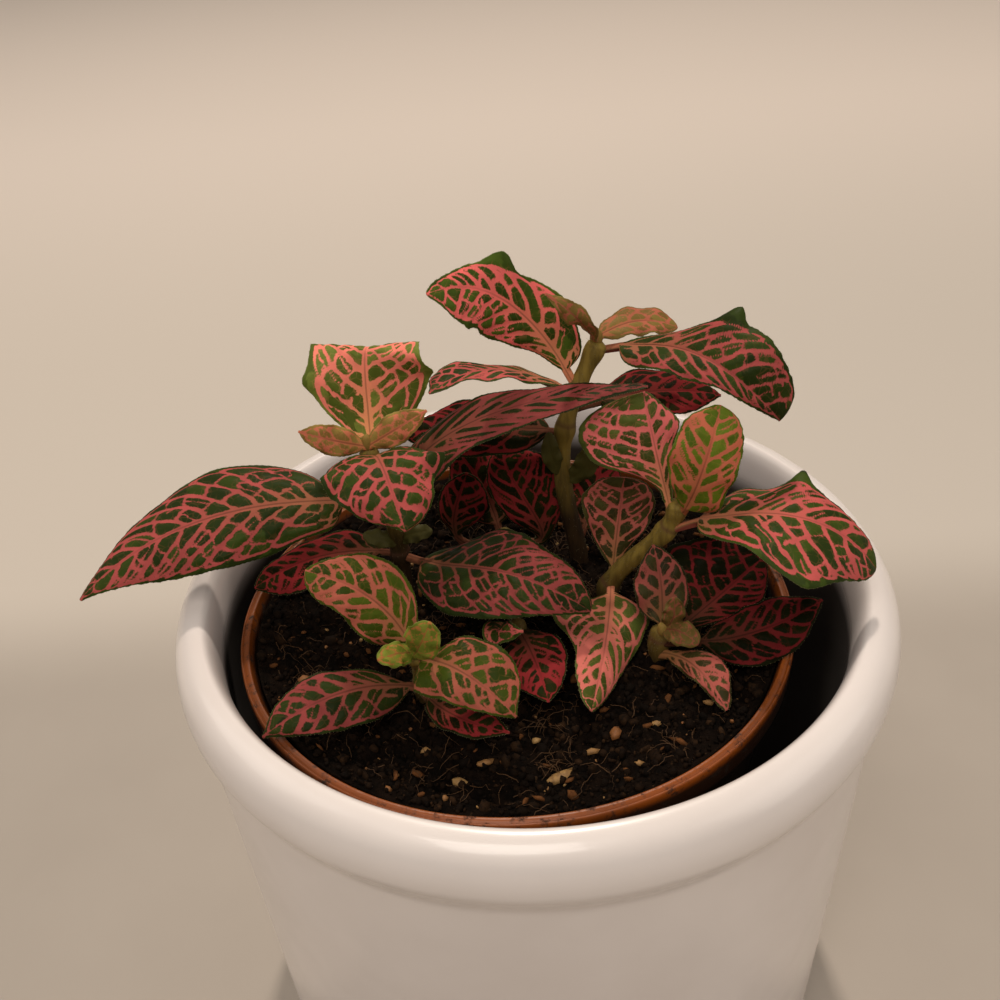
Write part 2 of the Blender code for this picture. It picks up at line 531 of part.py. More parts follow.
def nursery_pot(material):
    """The thin plastic pot: tapered wall, folded rim, round drain holes in the base."""
    rim_foot = INNER_HEIGHT - INNER_RIM_DEPTH
    neck = inner_profile_radius(rim_foot)
    profile = [
        (0, INNER_WALL), (inner_profile_radius(0) - INNER_WALL, INNER_WALL),
        (neck - INNER_WALL, rim_foot), (INNER_RIM_RADIUS - 2.2, INNER_HEIGHT - 0.8),
        (INNER_RIM_RADIUS - 1.6, INNER_HEIGHT), (INNER_RIM_RADIUS - 0.5, INNER_HEIGHT),
        (INNER_RIM_RADIUS, INNER_HEIGHT - 0.8), (INNER_RIM_RADIUS - 0.2, rim_foot),
        (neck, rim_foot), (INNER_BASE_RADIUS, 1.0), (INNER_BASE_RADIUS - 1.0, 0), (0, 0)]
    place = (*INNER_OFFSET, COVER_FLOOR + GAP)
    pot = turned("nursery_pot", profile, INNER_STEPS, material, origin=place)
    for k in range(DRAIN_HOLES):
        turn = 2 * pi * (k + 0.3) / DRAIN_HOLES
        bpy.ops.mesh.primitive_cylinder_add(
            vertices=12, radius=DRAIN_HOLE_RADIUS * MM, depth=4 * INNER_WALL * MM,
            location=((place[0] + DRAIN_CIRCLE_RADIUS * cos(turn)) * MM,
                      (place[1] + DRAIN_CIRCLE_RADIUS * sin(turn)) * MM,
                      (place[2] + INNER_WALL / 2) * MM),
            rotation=(0, 0, turn + 0.1))
        drill = bpy.context.object
        combine(pot, drill, "DIFFERENCE")
        discard(drill)
    return pot


def mix_height(x, y, radius):
    """Height of the potting mix: a low mound, banked up to the wall, with seeded round lumps."""
    away = np.hypot(x, y) / radius
    z = MIX_TOP + MIX_MOUND * (1 - away ** 2) + MIX_BANK * away ** 8
    draw = np.random.default_rng(MIX_SEED)
    for _ in range(MIX_LUMPS):
        reach = radius * 0.93 * draw.random() ** 0.5
        turn = 2 * pi * draw.random()
        size = draw.uniform(3.0, 6.0)
        rise = draw.uniform(-1.0, 1.5)
        near = (x - reach * cos(turn)) ** 2 + (y - reach * sin(turn)) ** 2
        z = z + rise * np.exp(-near / size ** 2) * (away < 0.99)
    return z


def potting_mix(material):
    """The mix: it fills the plastic pot, and its top is a rough disc on a polar grid."""
    floor = COVER_FLOOR + 2 * GAP + INNER_WALL
    top_radius = inner_profile_radius(MIX_TOP - COVER_FLOOR) - INNER_WALL - 1.5 * GAP
    base_radius = inner_profile_radius(0) - INNER_WALL - 1.5 * GAP
    turn = np.linspace(0, 2 * pi, MIX_SPOKES, endpoint=False)
    reach = top_radius * np.linspace(0, 1, MIX_RINGS + 1)[1:]
    x = np.outer(reach, np.cos(turn))
    y = np.outer(reach, np.sin(turn))
    z = mix_height(x, y, top_radius)
    top = np.stack([x, y, z], -1).reshape(-1, 3)
    foot = np.stack([base_radius * np.cos(turn), base_radius * np.sin(turn),
                     np.full(MIX_SPOKES, floor)], -1)
    middle = np.array([[0, 0, float(mix_height(np.zeros(1), np.zeros(1), top_radius)[0])]])
    points = np.concatenate([middle, top, foot]) + np.array([*INNER_OFFSET, 0.0])
    index = 1 + np.arange((MIX_RINGS + 1) * MIX_SPOKES).reshape(MIX_RINGS + 1, MIX_SPOKES)
    after = np.roll(index, -1, axis=1)
    fan = [(0, a, b) for a, b in zip(index[0], after[0])]
    bands = np.stack([index[:-1], index[1:], after[1:], after[:-1]], -1).reshape(-1, 4)
    faces = [*fan, *bands, index[-1, ::-1]]
    return add_object("potting_mix", points, faces, material, origin=(*INNER_OFFSET, floor))


def add_crumbs(mix, material):
    """Coarse crumbs and bark bits, half sunk in the mix and joined to it."""
    draw = np.random.default_rng(MIX_SEED + 1)
    crumbs = bpy.data.collections.new("crumbs")
    bpy.context.scene.collection.children.link(crumbs)
    for _ in range(MIX_CRUMBS):
        reach = 8 + 42 * draw.random() ** 0.5
        turn = draw.uniform(pi, 2.3 * pi)
        x, y = reach * cos(turn), reach * sin(turn)
        z = float(mix_height(np.array([x]), np.array([y]), 57.0)[0])
        size = draw.uniform(1.4, 2.6)
        centre = (x + INNER_OFFSET[0], y + INNER_OFFSET[1], z + 0.2)
        crumb = bud_body("crumb", centre, (size * 1.3, size, 0.8 * size), material, 3, 5)
        crumb.rotation_euler = (0.3 * draw.random(), 0.3 * draw.random(), pi * draw.random())
        crumbs.objects.link(crumb)
        bpy.context.scene.collection.objects.unlink(crumb)
    step = mix.modifiers.new("crumbs", "BOOLEAN")
    step.operation = "UNION"
    step.solver = "EXACT"
    step.use_self = True
    step.operand_type = "COLLECTION"
    step.collection = crumbs
    view = bpy.context.evaluated_depsgraph_get()
    joined = bpy.data.meshes.new_from_object(mix.evaluated_get(view))
    mix.modifiers.clear()
    mix.data = joined
    for crumb in list(crumbs.objects):
        discard(crumb)
    bpy.data.collections.remove(crumbs)


def build():
    for old in list(bpy.data.objects):
        bpy.data.objects.remove(old, do_unlink=True)
    glaze = finish("white_glaze", (226, 213, 200), 0.22)
    plastic = finish("nursery_plastic", (150, 82, 38), 0.45)
    soil = finish("potting_mix", (30, 23, 18), 0.95)
    bark = finish("stem_olive", (92, 78, 36), 0.6)
    blade = finish("veined_leaf", (96, 62, 42), 0.5)
    young = finish("young_leaf", (140, 112, 48), 0.5)

    cover_pot(glaze)
    nursery_pot(plastic)
    mix = potting_mix(soil)
    add_crumbs(mix, soil)

    sleeves = {}
    for name, stem in STEMS.items():
        body = stem_body(name, stem, bark)
        sleeves[name] = stem_body(name + "_sleeve", stem, bark, grow=GAP)
        combine(mix, sleeves[name], "DIFFERENCE")
        for bract in BRACTS:
            if bract.stem == name:
                scale_leaf = leaf_body("bract", bract, bark)
                combine(body, scale_leaf, "UNION")
                discard(scale_leaf)
    for name, leaf in LEAVES.items():
        body = leaf_body(name, leaf, blade)
        combine(body, sleeves[leaf.stem], "DIFFERENCE")
    for name, tip in TIPS.items():
        body = bud_body(name, *tip["bud"], young)
        for leaf in tip["leaves"]:
            part = leaf_body("young", leaf, young)
            combine(body, part, "UNION")
            discard(part)
        combine(body, sleeves[tip["leaves"][0].stem], "DIFFERENCE")
    for sleeve in sleeves.values():
        discard(sleeve)


build()
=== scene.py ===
# %% [markdown]
# # A potted nerve plant
# This lesson dresses a ready-made set of plain solids: a white glazed pot, a thin plastic pot of
# potting mix, seven stems and their leaves. The solids say where each piece is. Each one is
# replaced by a finer surface of the same form, worked out with numpy as whole arrays, and gets a
# procedural finish. We start by loading the solids.

# %% Load the frame
from dataclasses import dataclass, replace
from math import cos, pi, radians, sin

import bpy
import numpy as np
from mathutils import Matrix


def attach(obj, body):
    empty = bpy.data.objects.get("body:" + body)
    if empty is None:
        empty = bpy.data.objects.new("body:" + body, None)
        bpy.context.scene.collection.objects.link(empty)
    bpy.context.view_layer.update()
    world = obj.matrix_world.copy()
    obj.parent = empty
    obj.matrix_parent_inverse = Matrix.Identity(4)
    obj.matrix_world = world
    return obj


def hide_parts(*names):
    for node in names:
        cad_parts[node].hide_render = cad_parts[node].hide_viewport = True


MM = 0.001
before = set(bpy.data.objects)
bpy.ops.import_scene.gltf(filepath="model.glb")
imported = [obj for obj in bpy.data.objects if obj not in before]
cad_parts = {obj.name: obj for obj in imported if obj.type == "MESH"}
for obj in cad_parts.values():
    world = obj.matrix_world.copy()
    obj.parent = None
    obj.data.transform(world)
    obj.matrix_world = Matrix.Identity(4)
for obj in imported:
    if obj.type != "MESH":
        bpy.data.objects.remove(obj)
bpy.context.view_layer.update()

# %% [markdown]
# ## Camera and light
# The camera stands where the photographer stood, a hand's breadth above the leaves and looking
# down about 35 degrees, with a slight tilt of the head. A camera looks along its own -Z axis, so
# its matrix holds three directions as columns: right, up and backwards. A lamp's does too. Three
# large area lamps give soft shadow edges and broad reflections in the glaze. A small one high up
# behind gives the crisper shadows, and a warm grey world fills them a little.


# %% Camera at the photograph's viewing angle
def unit(v):
    """Vectors of length 1: v / |v|."""
    return v / np.linalg.norm(v, axis=-1, keepdims=True)


def put(data, axes, place):
    """An object of that camera or lamp at place, its own x, y and z along the three axes."""
    made = bpy.data.objects.new(data.name, data)
    matrix = np.eye(4)
    matrix[:3, :3] = np.transpose(axes)
    matrix[:3, 3] = place
    made.matrix_world = Matrix(matrix.tolist())
    bpy.context.scene.collection.objects.link(made)
    return made


CAMERA_PLACE = (-0.00574, -0.18192, 0.27008)
CAMERA_PITCH = radians(34.555)
CAMERA_ROLL = radians(-3.968)

ahead = np.array([0, cos(CAMERA_PITCH), -sin(CAMERA_PITCH)])
level = np.array([1.0, 0, 0])
upward = np.cross(level, ahead)
right = cos(CAMERA_ROLL) * level + sin(CAMERA_ROLL) * upward
above = cos(CAMERA_ROLL) * upward - sin(CAMERA_ROLL) * level

camera = bpy.data.cameras.new("photo_camera")
camera.sensor_width = 36.0
camera.lens = 37.8
camera.clip_start = 0.005
bpy.context.scene.camera = put(camera, (right, above, -ahead), CAMERA_PLACE)
bpy.context.scene.view_settings.view_transform = "Standard"
print("camera at", CAMERA_PLACE)

# %% Area lamps and world
LAMPS = {
    # name: place, target and side in metres, watts, colour
    "ceiling_lamp": ((0.05, 1.08, 2.09), (0, 0, 0.12), 0.14, 24.0, (1.0, 0.88, 0.76)),
    "room_lamp": ((-0.25, -0.9, 1.6), (0, 0, 0.12), 0.9, 12.0, (1.0, 0.92, 0.84)),
    "window_glow": ((-1.6, 0.3, 1.6), (0, 0, 0.12), 1.4, 6.5, (1.0, 0.93, 0.86)),
    "side_glow": ((1.5, -0.5, 0.9), (0, 0, 0.1), 1.4, 5.5, (1.0, 0.92, 0.85)),
}
for name, (place, target, size, watts, colour) in LAMPS.items():
    lamp = bpy.data.lights.new(name, "AREA")
    lamp.shape = "SQUARE"
    lamp.size = size
    lamp.energy = watts
    lamp.color = colour
    back = unit(np.subtract(place, target))
    side = unit(np.cross([0.0, 1.0, 0.001], back))
    put(lamp, (side, np.cross(back, side), back), place)
world = bpy.data.worlds.new("studio")
world.use_nodes = True
background = world.node_tree.nodes["Background"]
background.inputs["Color"].default_value = (0.95, 0.86, 0.76, 1)
background.inputs["Strength"].default_value = 0.32
bpy.context.scene.world = world
print("lamps:", len(LAMPS))

# %% [markdown]
# ## Finishes from nodes
# Every finish is a small network of nodes on the Principled shader. A short helper adds a node and
# wires its inputs, so that each finish below reads from top to bottom: patterns, colours, then the
# shader. Colours are written as sRGB numbers from 0 to 255, as a colour picker gives them, and
# turned to the linear values that the shader wants.


# %% Helpers for node networks
def linear(value):
    """One channel of an sRGB colour from 0 to 255, as the linear value from 0 to 1."""
    c = value / 255
    return c / 12.92 if c <= 0.04045 else ((c + 0.055) / 1.055) ** 2.4


def is_output(value):
    """Whether value is a node's output, and not a plain number or colour."""
    return isinstance(value, bpy.types.NodeSocket)


class Finish:
    """A material and short ways to add nodes to it. Patterns lie in the object's own metres."""

    def __init__(self, name, roughness, specular=0.5):
        self.material = bpy.data.materials.new(name)
        self.material.use_nodes = True
        self.tree = self.material.node_tree
        self.shader = self.tree.nodes["Principled BSDF"]
        self.shader.inputs["Roughness"].default_value = roughness
        self.shader.inputs["Specular IOR Level"].default_value = specular
        self.shader.inputs["Metallic"].default_value = 0.0
        self.spot = self.add("ShaderNodeTexCoord").outputs["Object"]

    def add(self, kind, settings=None, **inputs):
        """A node; each input goes by its name or as i and its number, and takes a plain value
        or another node's output."""
        node = self.tree.nodes.new(kind)
        for key, value in (settings or {}).items():
            setattr(node, key, value)
        for key, value in inputs.items():
            numbered = key[0] == "i" and key[1:].isdigit()
            socket = node.inputs[int(key[1:]) if numbered else key.replace("_", " ")]
            if is_output(value):
                self.tree.links.new(value, socket)
            else:
                socket.default_value = value
        return node

    def link(self, output, socket):
        """Wire an output into the shader."""
        self.tree.links.new(output, self.shader.inputs[socket])

    def along(self, axis):
        """The X, Y or Z coordinate."""
        return self.add("ShaderNodeSeparateXYZ", Vector=self.spot).outputs[axis]

    def field(self, name):
        """A number stored at each vertex of the mesh."""
        return self.add("ShaderNodeAttribute", {"attribute_name": name}).outputs["Fac"]

    def noise(self, scale, detail=3.0, roughness=0.55, at=None):
        """Cloudy noise round 0.5, with about scale blotches per metre."""
        return self.add("ShaderNodeTexNoise", Vector=self.spot if at is None else at, Scale=scale,
                        Detail=detail, Roughness=roughness).outputs["Fac"]

    def walls(self, scale):
        """Distance to the nearest wall of a cell pattern."""
        return self.add("ShaderNodeTexVoronoi", {"feature": "DISTANCE_TO_EDGE"}, Vector=self.spot,
                        Scale=scale).outputs["Distance"]

    def ramp(self, value, low, high, first=0.0, last=1.0, kind="SMOOTHSTEP"):
        """Value from low to high becomes first to last."""
        return self.add("ShaderNodeMapRange", {"interpolation_type": kind}, Value=value,
                        From_Min=low, From_Max=high, To_Min=first, To_Max=last).outputs["Result"]

    def math(self, operation, first, second):
        """Two numbers added, multiplied or compared."""
        return self.add("ShaderNodeMath", {"operation": operation}, i0=first,
                        i1=second).outputs["Value"]

    def blend(self, factor, first, second):
        """Colour that goes from first to second as factor goes from 0 to 1."""
        ends = [v if is_output(v) else (*(linear(c) for c in v), 1.0) for v in (first, second)]
        return self.add("ShaderNodeMix", {"data_type": "RGBA"}, i0=factor, i6=ends[0],
                        i7=ends[1]).outputs[2]

    def patches(self, scale, low, high, first, second, detail=3.0, most=1.0):
        """First, with second coming up to the share most where noise rises from low to high."""
        return self.blend(self.ramp(self.noise(scale, detail), low, high, 0.0, most), first, second)

    def relief(self, height, distance, strength):
        """Bumps from height, up to distance metres deep."""
        node = self.add("ShaderNodeBump", Height=height, Distance=distance, Strength=strength)
        self.link(node.outputs["Normal"], "Normal")


def speckled(name, roughness, specular, scale, first, second):
    """A finish whose colour wanders between two colours."""
    made = Finish(name, roughness, specular)
    made.link(made.blend(made.noise(scale), first, second), "Base Color")
    return made


# %% [markdown]
# ## Meshes from arrays
# Numpy works in millimetres here and the mesh gets metres. `foreach_set` copies a whole array into
# a mesh in one call, which is far quicker than adding vertices one at a time. Numbers that a finish
# needs at each vertex, such as the distance to the nearest leaf vein, go in as named attributes.


# %% Helpers for meshes
def add_piece(name, points, faces, finish, node=None, fields=None):
    """A smooth mesh from points in millimetres and a list of face arrays.

    It rides on the frame's one body. node is the solid that it replaces, and fields holds named
    numbers, one for each vertex."""
    mesh = bpy.data.meshes.new(name)
    corners = np.concatenate([f.ravel() for f in faces]).astype(np.int32)
    sizes = np.concatenate([np.full(len(f), f.shape[1]) for f in faces])
    mesh.vertices.add(len(points))
    mesh.vertices.foreach_set("co", (np.asarray(points) * MM).astype(np.float32).ravel())
    mesh.loops.add(len(corners))
    mesh.loops.foreach_set("vertex_index", corners)
    mesh.polygons.add(len(sizes))
    mesh.polygons.foreach_set("loop_start", (np.cumsum(sizes) - sizes).astype(np.int32))
    mesh.update(calc_edges=True)
    mesh.shade_smooth()
    for key, values in (fields or {}).items():
        layer = mesh.attributes.new(key, "FLOAT", "POINT")
        layer.data.foreach_set("value", np.asarray(values, np.float32).ravel())
    mesh.materials.append(finish.material)
    made = bpy.data.objects.new(name, mesh)
    bpy.context.scene.collection.objects.link(made)
    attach(made, "root")
    if node:
        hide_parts(node)


def belt(rows, columns, closed=True):
    """Quads of a grid of points whose columns run round (closed) or from side to side."""
    index = np.arange(rows * columns).reshape(rows, columns)
    after = np.roll(index, -1, axis=1) if closed else index[:, 1:]
    first = index if closed else index[:, :-1]
    return np.stack([first[:-1], after[:-1], after[1:], first[1:]], -1).reshape(-1, 4)


def capped(rows, steps):
    """Quads between rings of points, and one flat face on the first ring and on the last."""
    index = np.arange(rows * steps).reshape(rows, steps)
    return [belt(rows, steps), index[0][::-1].reshape(1, -1), index[-1].reshape(1, -1)]


def noise_waves(points, scale, seed, count=24):
    """Smooth noise, mostly from -1 to 1: sum of sin(k . p + phase) over count seeded waves,
    each about scale long."""
    draw = np.random.default_rng(seed)
    ways = unit(draw.normal(size=(count, points.shape[-1])))
    pace = 2 * pi / scale * draw.uniform(0.6, 1.7, count)
    phase = draw.uniform(0, 2 * pi, count)
    return np.sin(points @ (ways * pace[:, None]).T + phase).sum(-1) / (0.9 * count ** 0.5) / 1.6


# %% [markdown]
# ## The floor
# The floor is one large pale plane with a faint mottle. It is only there to stand on and isn't part
# of the object. Its colour is painted darker near the pot and lighter far behind it, a painted
# falloff of the light, and the far part also serves as the bright wall behind the pot.

# %% Floor
pale = Finish("pale_floor", 0.65, 0.3)
# painted shade and painted light: darker near the pot and the camera, lighter far behind, a little
# different from left to right
front = pale.patches(9.0, 0.3, 0.7, (166, 157, 147), (171, 162, 152), detail=4.0)
back = pale.blend(pale.ramp(pale.along("X"), -0.3, 0.4), (198, 189, 178), (192, 184, 174))
back = pale.blend(pale.ramp(pale.along("Y"), 0.3, 0.9), back, (216, 205, 195))
pale.link(pale.blend(pale.ramp(pale.along("Y"), 0.1, 0.17), front, back), "Base Color")
floor_mesh = bpy.data.meshes.new("floor")
floor_mesh.from_pydata([(-4, -4, 0), (4, -4, 0), (4, 6, 0), (-4, 6, 0)], [], [(0, 1, 2, 3)])
floor_mesh.materials.append(pale.material)
floor = bpy.data.objects.new("floor", floor_mesh)
bpy.context.scene.collection.objects.link(floor)

# %% [markdown]
# ## The two pots
# A pot is a profile turned round an axis. The profile is a list of (radius, height) points, with
# oval arcs where the real wall is round, and the turned surface is the outer product of the radii
# with cosines and sines. The glazed pot's lip is a rolled bead of oval section. The glaze is glossy
# and slightly uneven where it ran. Deep inside, below the lip, it is painted dark brown and made
# dull as painted shade, and the plastic pot is painted dark brown below its rim, also as painted
# shade.


# %% Turning a profile
def turned_points(profile, steps, centre=(0.0, 0.0, 0.0)):
    """Point (i, j) is (r_i cos a_j, r_i sin a_j, z_i) with a_j evenly spaced round the axis."""
    profile = np.asarray(profile, float)
    turn = np.linspace(0, 2 * pi, steps, endpoint=False)
    ring = np.stack([np.outer(profile[:, 0], np.cos(turn)), np.outer(profile[:, 0], np.sin(turn)),
                     np.repeat(profile[:, 1:2], steps, axis=1)], -1)
    return ring.reshape(-1, 3) + np.asarray(centre)


def arc(centre, radii, first, last, count):
    """Points on an oval arc, centre + (a cos f, b sin f), from angle first to last in degrees."""
    a = np.radians(np.linspace(first, last, count))
    return np.stack([centre[0] + radii[0] * np.cos(a), centre[1] + radii[1] * np.sin(a)], -1)


def run(first, last, count):
    """Evenly spaced points from first up to but not including last."""
    t = np.linspace(0, 1, count, endpoint=False)[:, None]
    return np.asarray(first, float) * (1 - t) + np.asarray(last, float) * t


# %% Glazed cover pot
glaze = Finish("white_glaze", 0.16, 0.5)
white = glaze.patches(22.0, 0.3, 0.75, (232, 224, 220), (224, 215, 210))
across = glaze.add("ShaderNodeCombineXYZ", X=glaze.along("X"), Y=glaze.along("Y"))
reach = glaze.add("ShaderNodeVectorMath", {"operation": "LENGTH"}, i0=across.outputs["Vector"])
# painted shade: the inner wall below the lip is painted dark brown and made fully rough
inner_side = glaze.ramp(reach.outputs["Value"], 0.0702, 0.0692)
deep = glaze.math("MULTIPLY", inner_side, glaze.ramp(glaze.along("Z"), 0.1215, 0.114))
glaze.link(glaze.blend(deep, white, (52, 42, 34)), "Base Color")
gloss = glaze.ramp(glaze.noise(60.0), 0.3, 0.7, 0.24, 0.27)
glaze.link(glaze.math("MAXIMUM", gloss, deep), "Roughness")
glaze.relief(glaze.noise(38.0, 2.0), 0.0006, 0.5)
glaze.shader.inputs["Coat Weight"].default_value = 0.35
glaze.shader.inputs["Coat Roughness"].default_value = 0.06

COVER_STEPS = 240
foot = np.linspace(0, 1, 24)
# the bead runs into the wall by 2.5 mm times the smooth step 10 f^3 - 15 f^4 + 6 f^5
lip_foot = np.stack([78 - 2.5 * foot ** 3 * (10 - 15 * foot + 6 * foot ** 2) - 0.11 * foot ** 2,
                     119.6 - 9.6 * foot], -1)
cover_profile = np.concatenate([
    # inner floor, its rounded corner and the inner wall
    [(0.3, 10.0)], run((3, 10), (59.2, 10), 12), arc((59.2, 16), (6, 6), -90, 0, 9)[:-1],
    run((65.2, 16), (68.4, 98), 24), run((68.4, 98), (68.4, 117.8), 8),
    # the lip: a quarter oval inside, another outside, and its foot
    arc((71.6, 117.8), (3.2, 10.2), 180, 90, 26)[:-1],
    arc((71.6, 119.6), (6.4, 8.4), 90, 0, 26)[:-1], lip_foot[:-1],
    # outer wall, rounded edge and underside
    run((75.39, 110), (72.2, 1.5), 150), arc((70.7, 1.5), (1.5, 1.5), 0, -90, 6),
    run((68, 0), (0.3, 0), 10), [(0.3, 0.0)]])
cover = turned_points(cover_profile, COVER_STEPS)
add_piece("glazed_cover_pot", cover, capped(len(cover_profile), COVER_STEPS), glaze,
          "cover_pot")
print("cover pot:", len(cover), "points, lip radius", cover_profile[:, 0].max())

# %% Plastic pot
plastic = Finish("nursery_plastic", 0.42, 0.4)
grime = plastic.ramp(plastic.noise(420.0, 4.0, 0.7), 0.5, 0.7)
shade = plastic.patches(30.0, 0.3, 0.7, (140, 70, 14), (104, 50, 8))
# painted shade: below the rim, outside and on the inner wall above the mix, the plastic is painted
# dark brown
shade = plastic.blend(plastic.ramp(plastic.along("Z"), 0.1194, 0.1176), shade, (44, 25, 13))
plastic.link(plastic.blend(grime, shade, (38, 22, 12)), "Base Color")
plastic.link(plastic.ramp(grime, 0.0, 1.0, 0.38, 0.8), "Roughness")
plastic.relief(plastic.noise(300.0), 0.0002, 0.6)

INNER_STEPS = 200
INNER_CENTRE = (-4.0, -4.5, 10.3)
inner_profile = np.concatenate([
    # base and inner wall
    [(0.3, 1.2)], run((4, 1.2), (41.8, 1.2), 8), run((41.8, 1.2), (56.1, 103.5), 30),
    # the rim, with a thin groove round its top
    run((56.1, 103.5), (57.8, 109.2), 5), arc((58.3, 108.9), (0.4, 1.0), 165, 90, 5),
    [(59.2, 109.8), (59.3, 109.5), (59.4, 109.5)], arc((59.65, 108.9), (0.35, 0.85), 120, 0, 6),
    run((60.0, 108.8), (59.8, 103.8), 6), arc((59.4, 103.8), (0.4, 0.4), 0, -90, 3),
    # outer wall and underside
    run((58.6, 103.5), (57.35, 103.5), 3), run((57.35, 103.5), (43, 1.0), 30),
    run((43, 1.0), (42, 0), 2), run((42, 0), (0.3, 0), 8), [(0.3, 0.0)]])
inner = turned_points(inner_profile, INNER_STEPS)
# the thin wall is a little out of round, most of all at the rim
lean = np.clip(inner[:, 2] / 110, 0, 1) ** 3
angle = np.arctan2(inner[:, 1], inner[:, 0])
inner[:, :2] *= (1 + 0.004 * lean * np.sin(2 * angle + 0.7) + 0.002 * lean * np.sin(5 * angle)
                 - 0.004 * lean)[:, None]
add_piece("plastic_nursery_pot", inner + INNER_CENTRE, capped(len(inner_profile), INNER_STEPS),
          plastic, "nursery_pot")
print("plastic pot:", len(inner), "points")

# %% [markdown]
# ## The leaves' shape
# A leaf starts from a few given points along its midrib, and a smooth curve runs through
# them. At each place along it, the blade reaches out to both sides as far as a half-width rule
# allows, over a slightly arched cross-section. So the whole blade is a function of two numbers: s
# goes from the stalk's foot to the tip, and u from the left margin to the right. The table holds,
# for each leaf, the numbers that the solids were made from, and a few about its vein net.


# %% Leaf table
@dataclass
class Leaf:
    """One leaf, in mm and degrees: midrib points, half widths left and right (the greatest one,
    or seven from base to tip), and the ways its upper face looks at the base and at the tip.

    stalk is the stalk's share of the length; swell and taper shape a single half width; fold and
    curl bend the section at the base and at the tip; wave is (height, count) along the margin; a
    peak on the margin is (side, place, out, up). cell is the distance between cross veins, vein
    the veins' strength and slant their sweep (0: from the leaf's shape). The last field scales the
    colours: painted light above 1 and painted shade below 1, for how lit or shaded the leaf should
    look. Where one value stands for a pair, it is taken twice."""
    rib: tuple
    width: tuple | float
    face: tuple
    stalk: float = 0.06
    swell: tuple | float = 0.6
    taper: tuple | float = 0.8
    fold: tuple | float = 10
    curl: tuple | float = 30
    wave: tuple = (0.6, 3.0)
    peaks: tuple = ()
    look: str = "mature"
    cell: float = 2.9
    vein: float = 1.0
    slant: float = 0.0
    depth: float = 1.0

    def __post_init__(self):
        for key in ("width", "swell", "taper", "fold", "curl"):
            value = getattr(self, key)
            if not isinstance(value, tuple):
                setattr(self, key, (value, value))
        if len(self.face) == 3:
            self.face = (self.face, self.face)
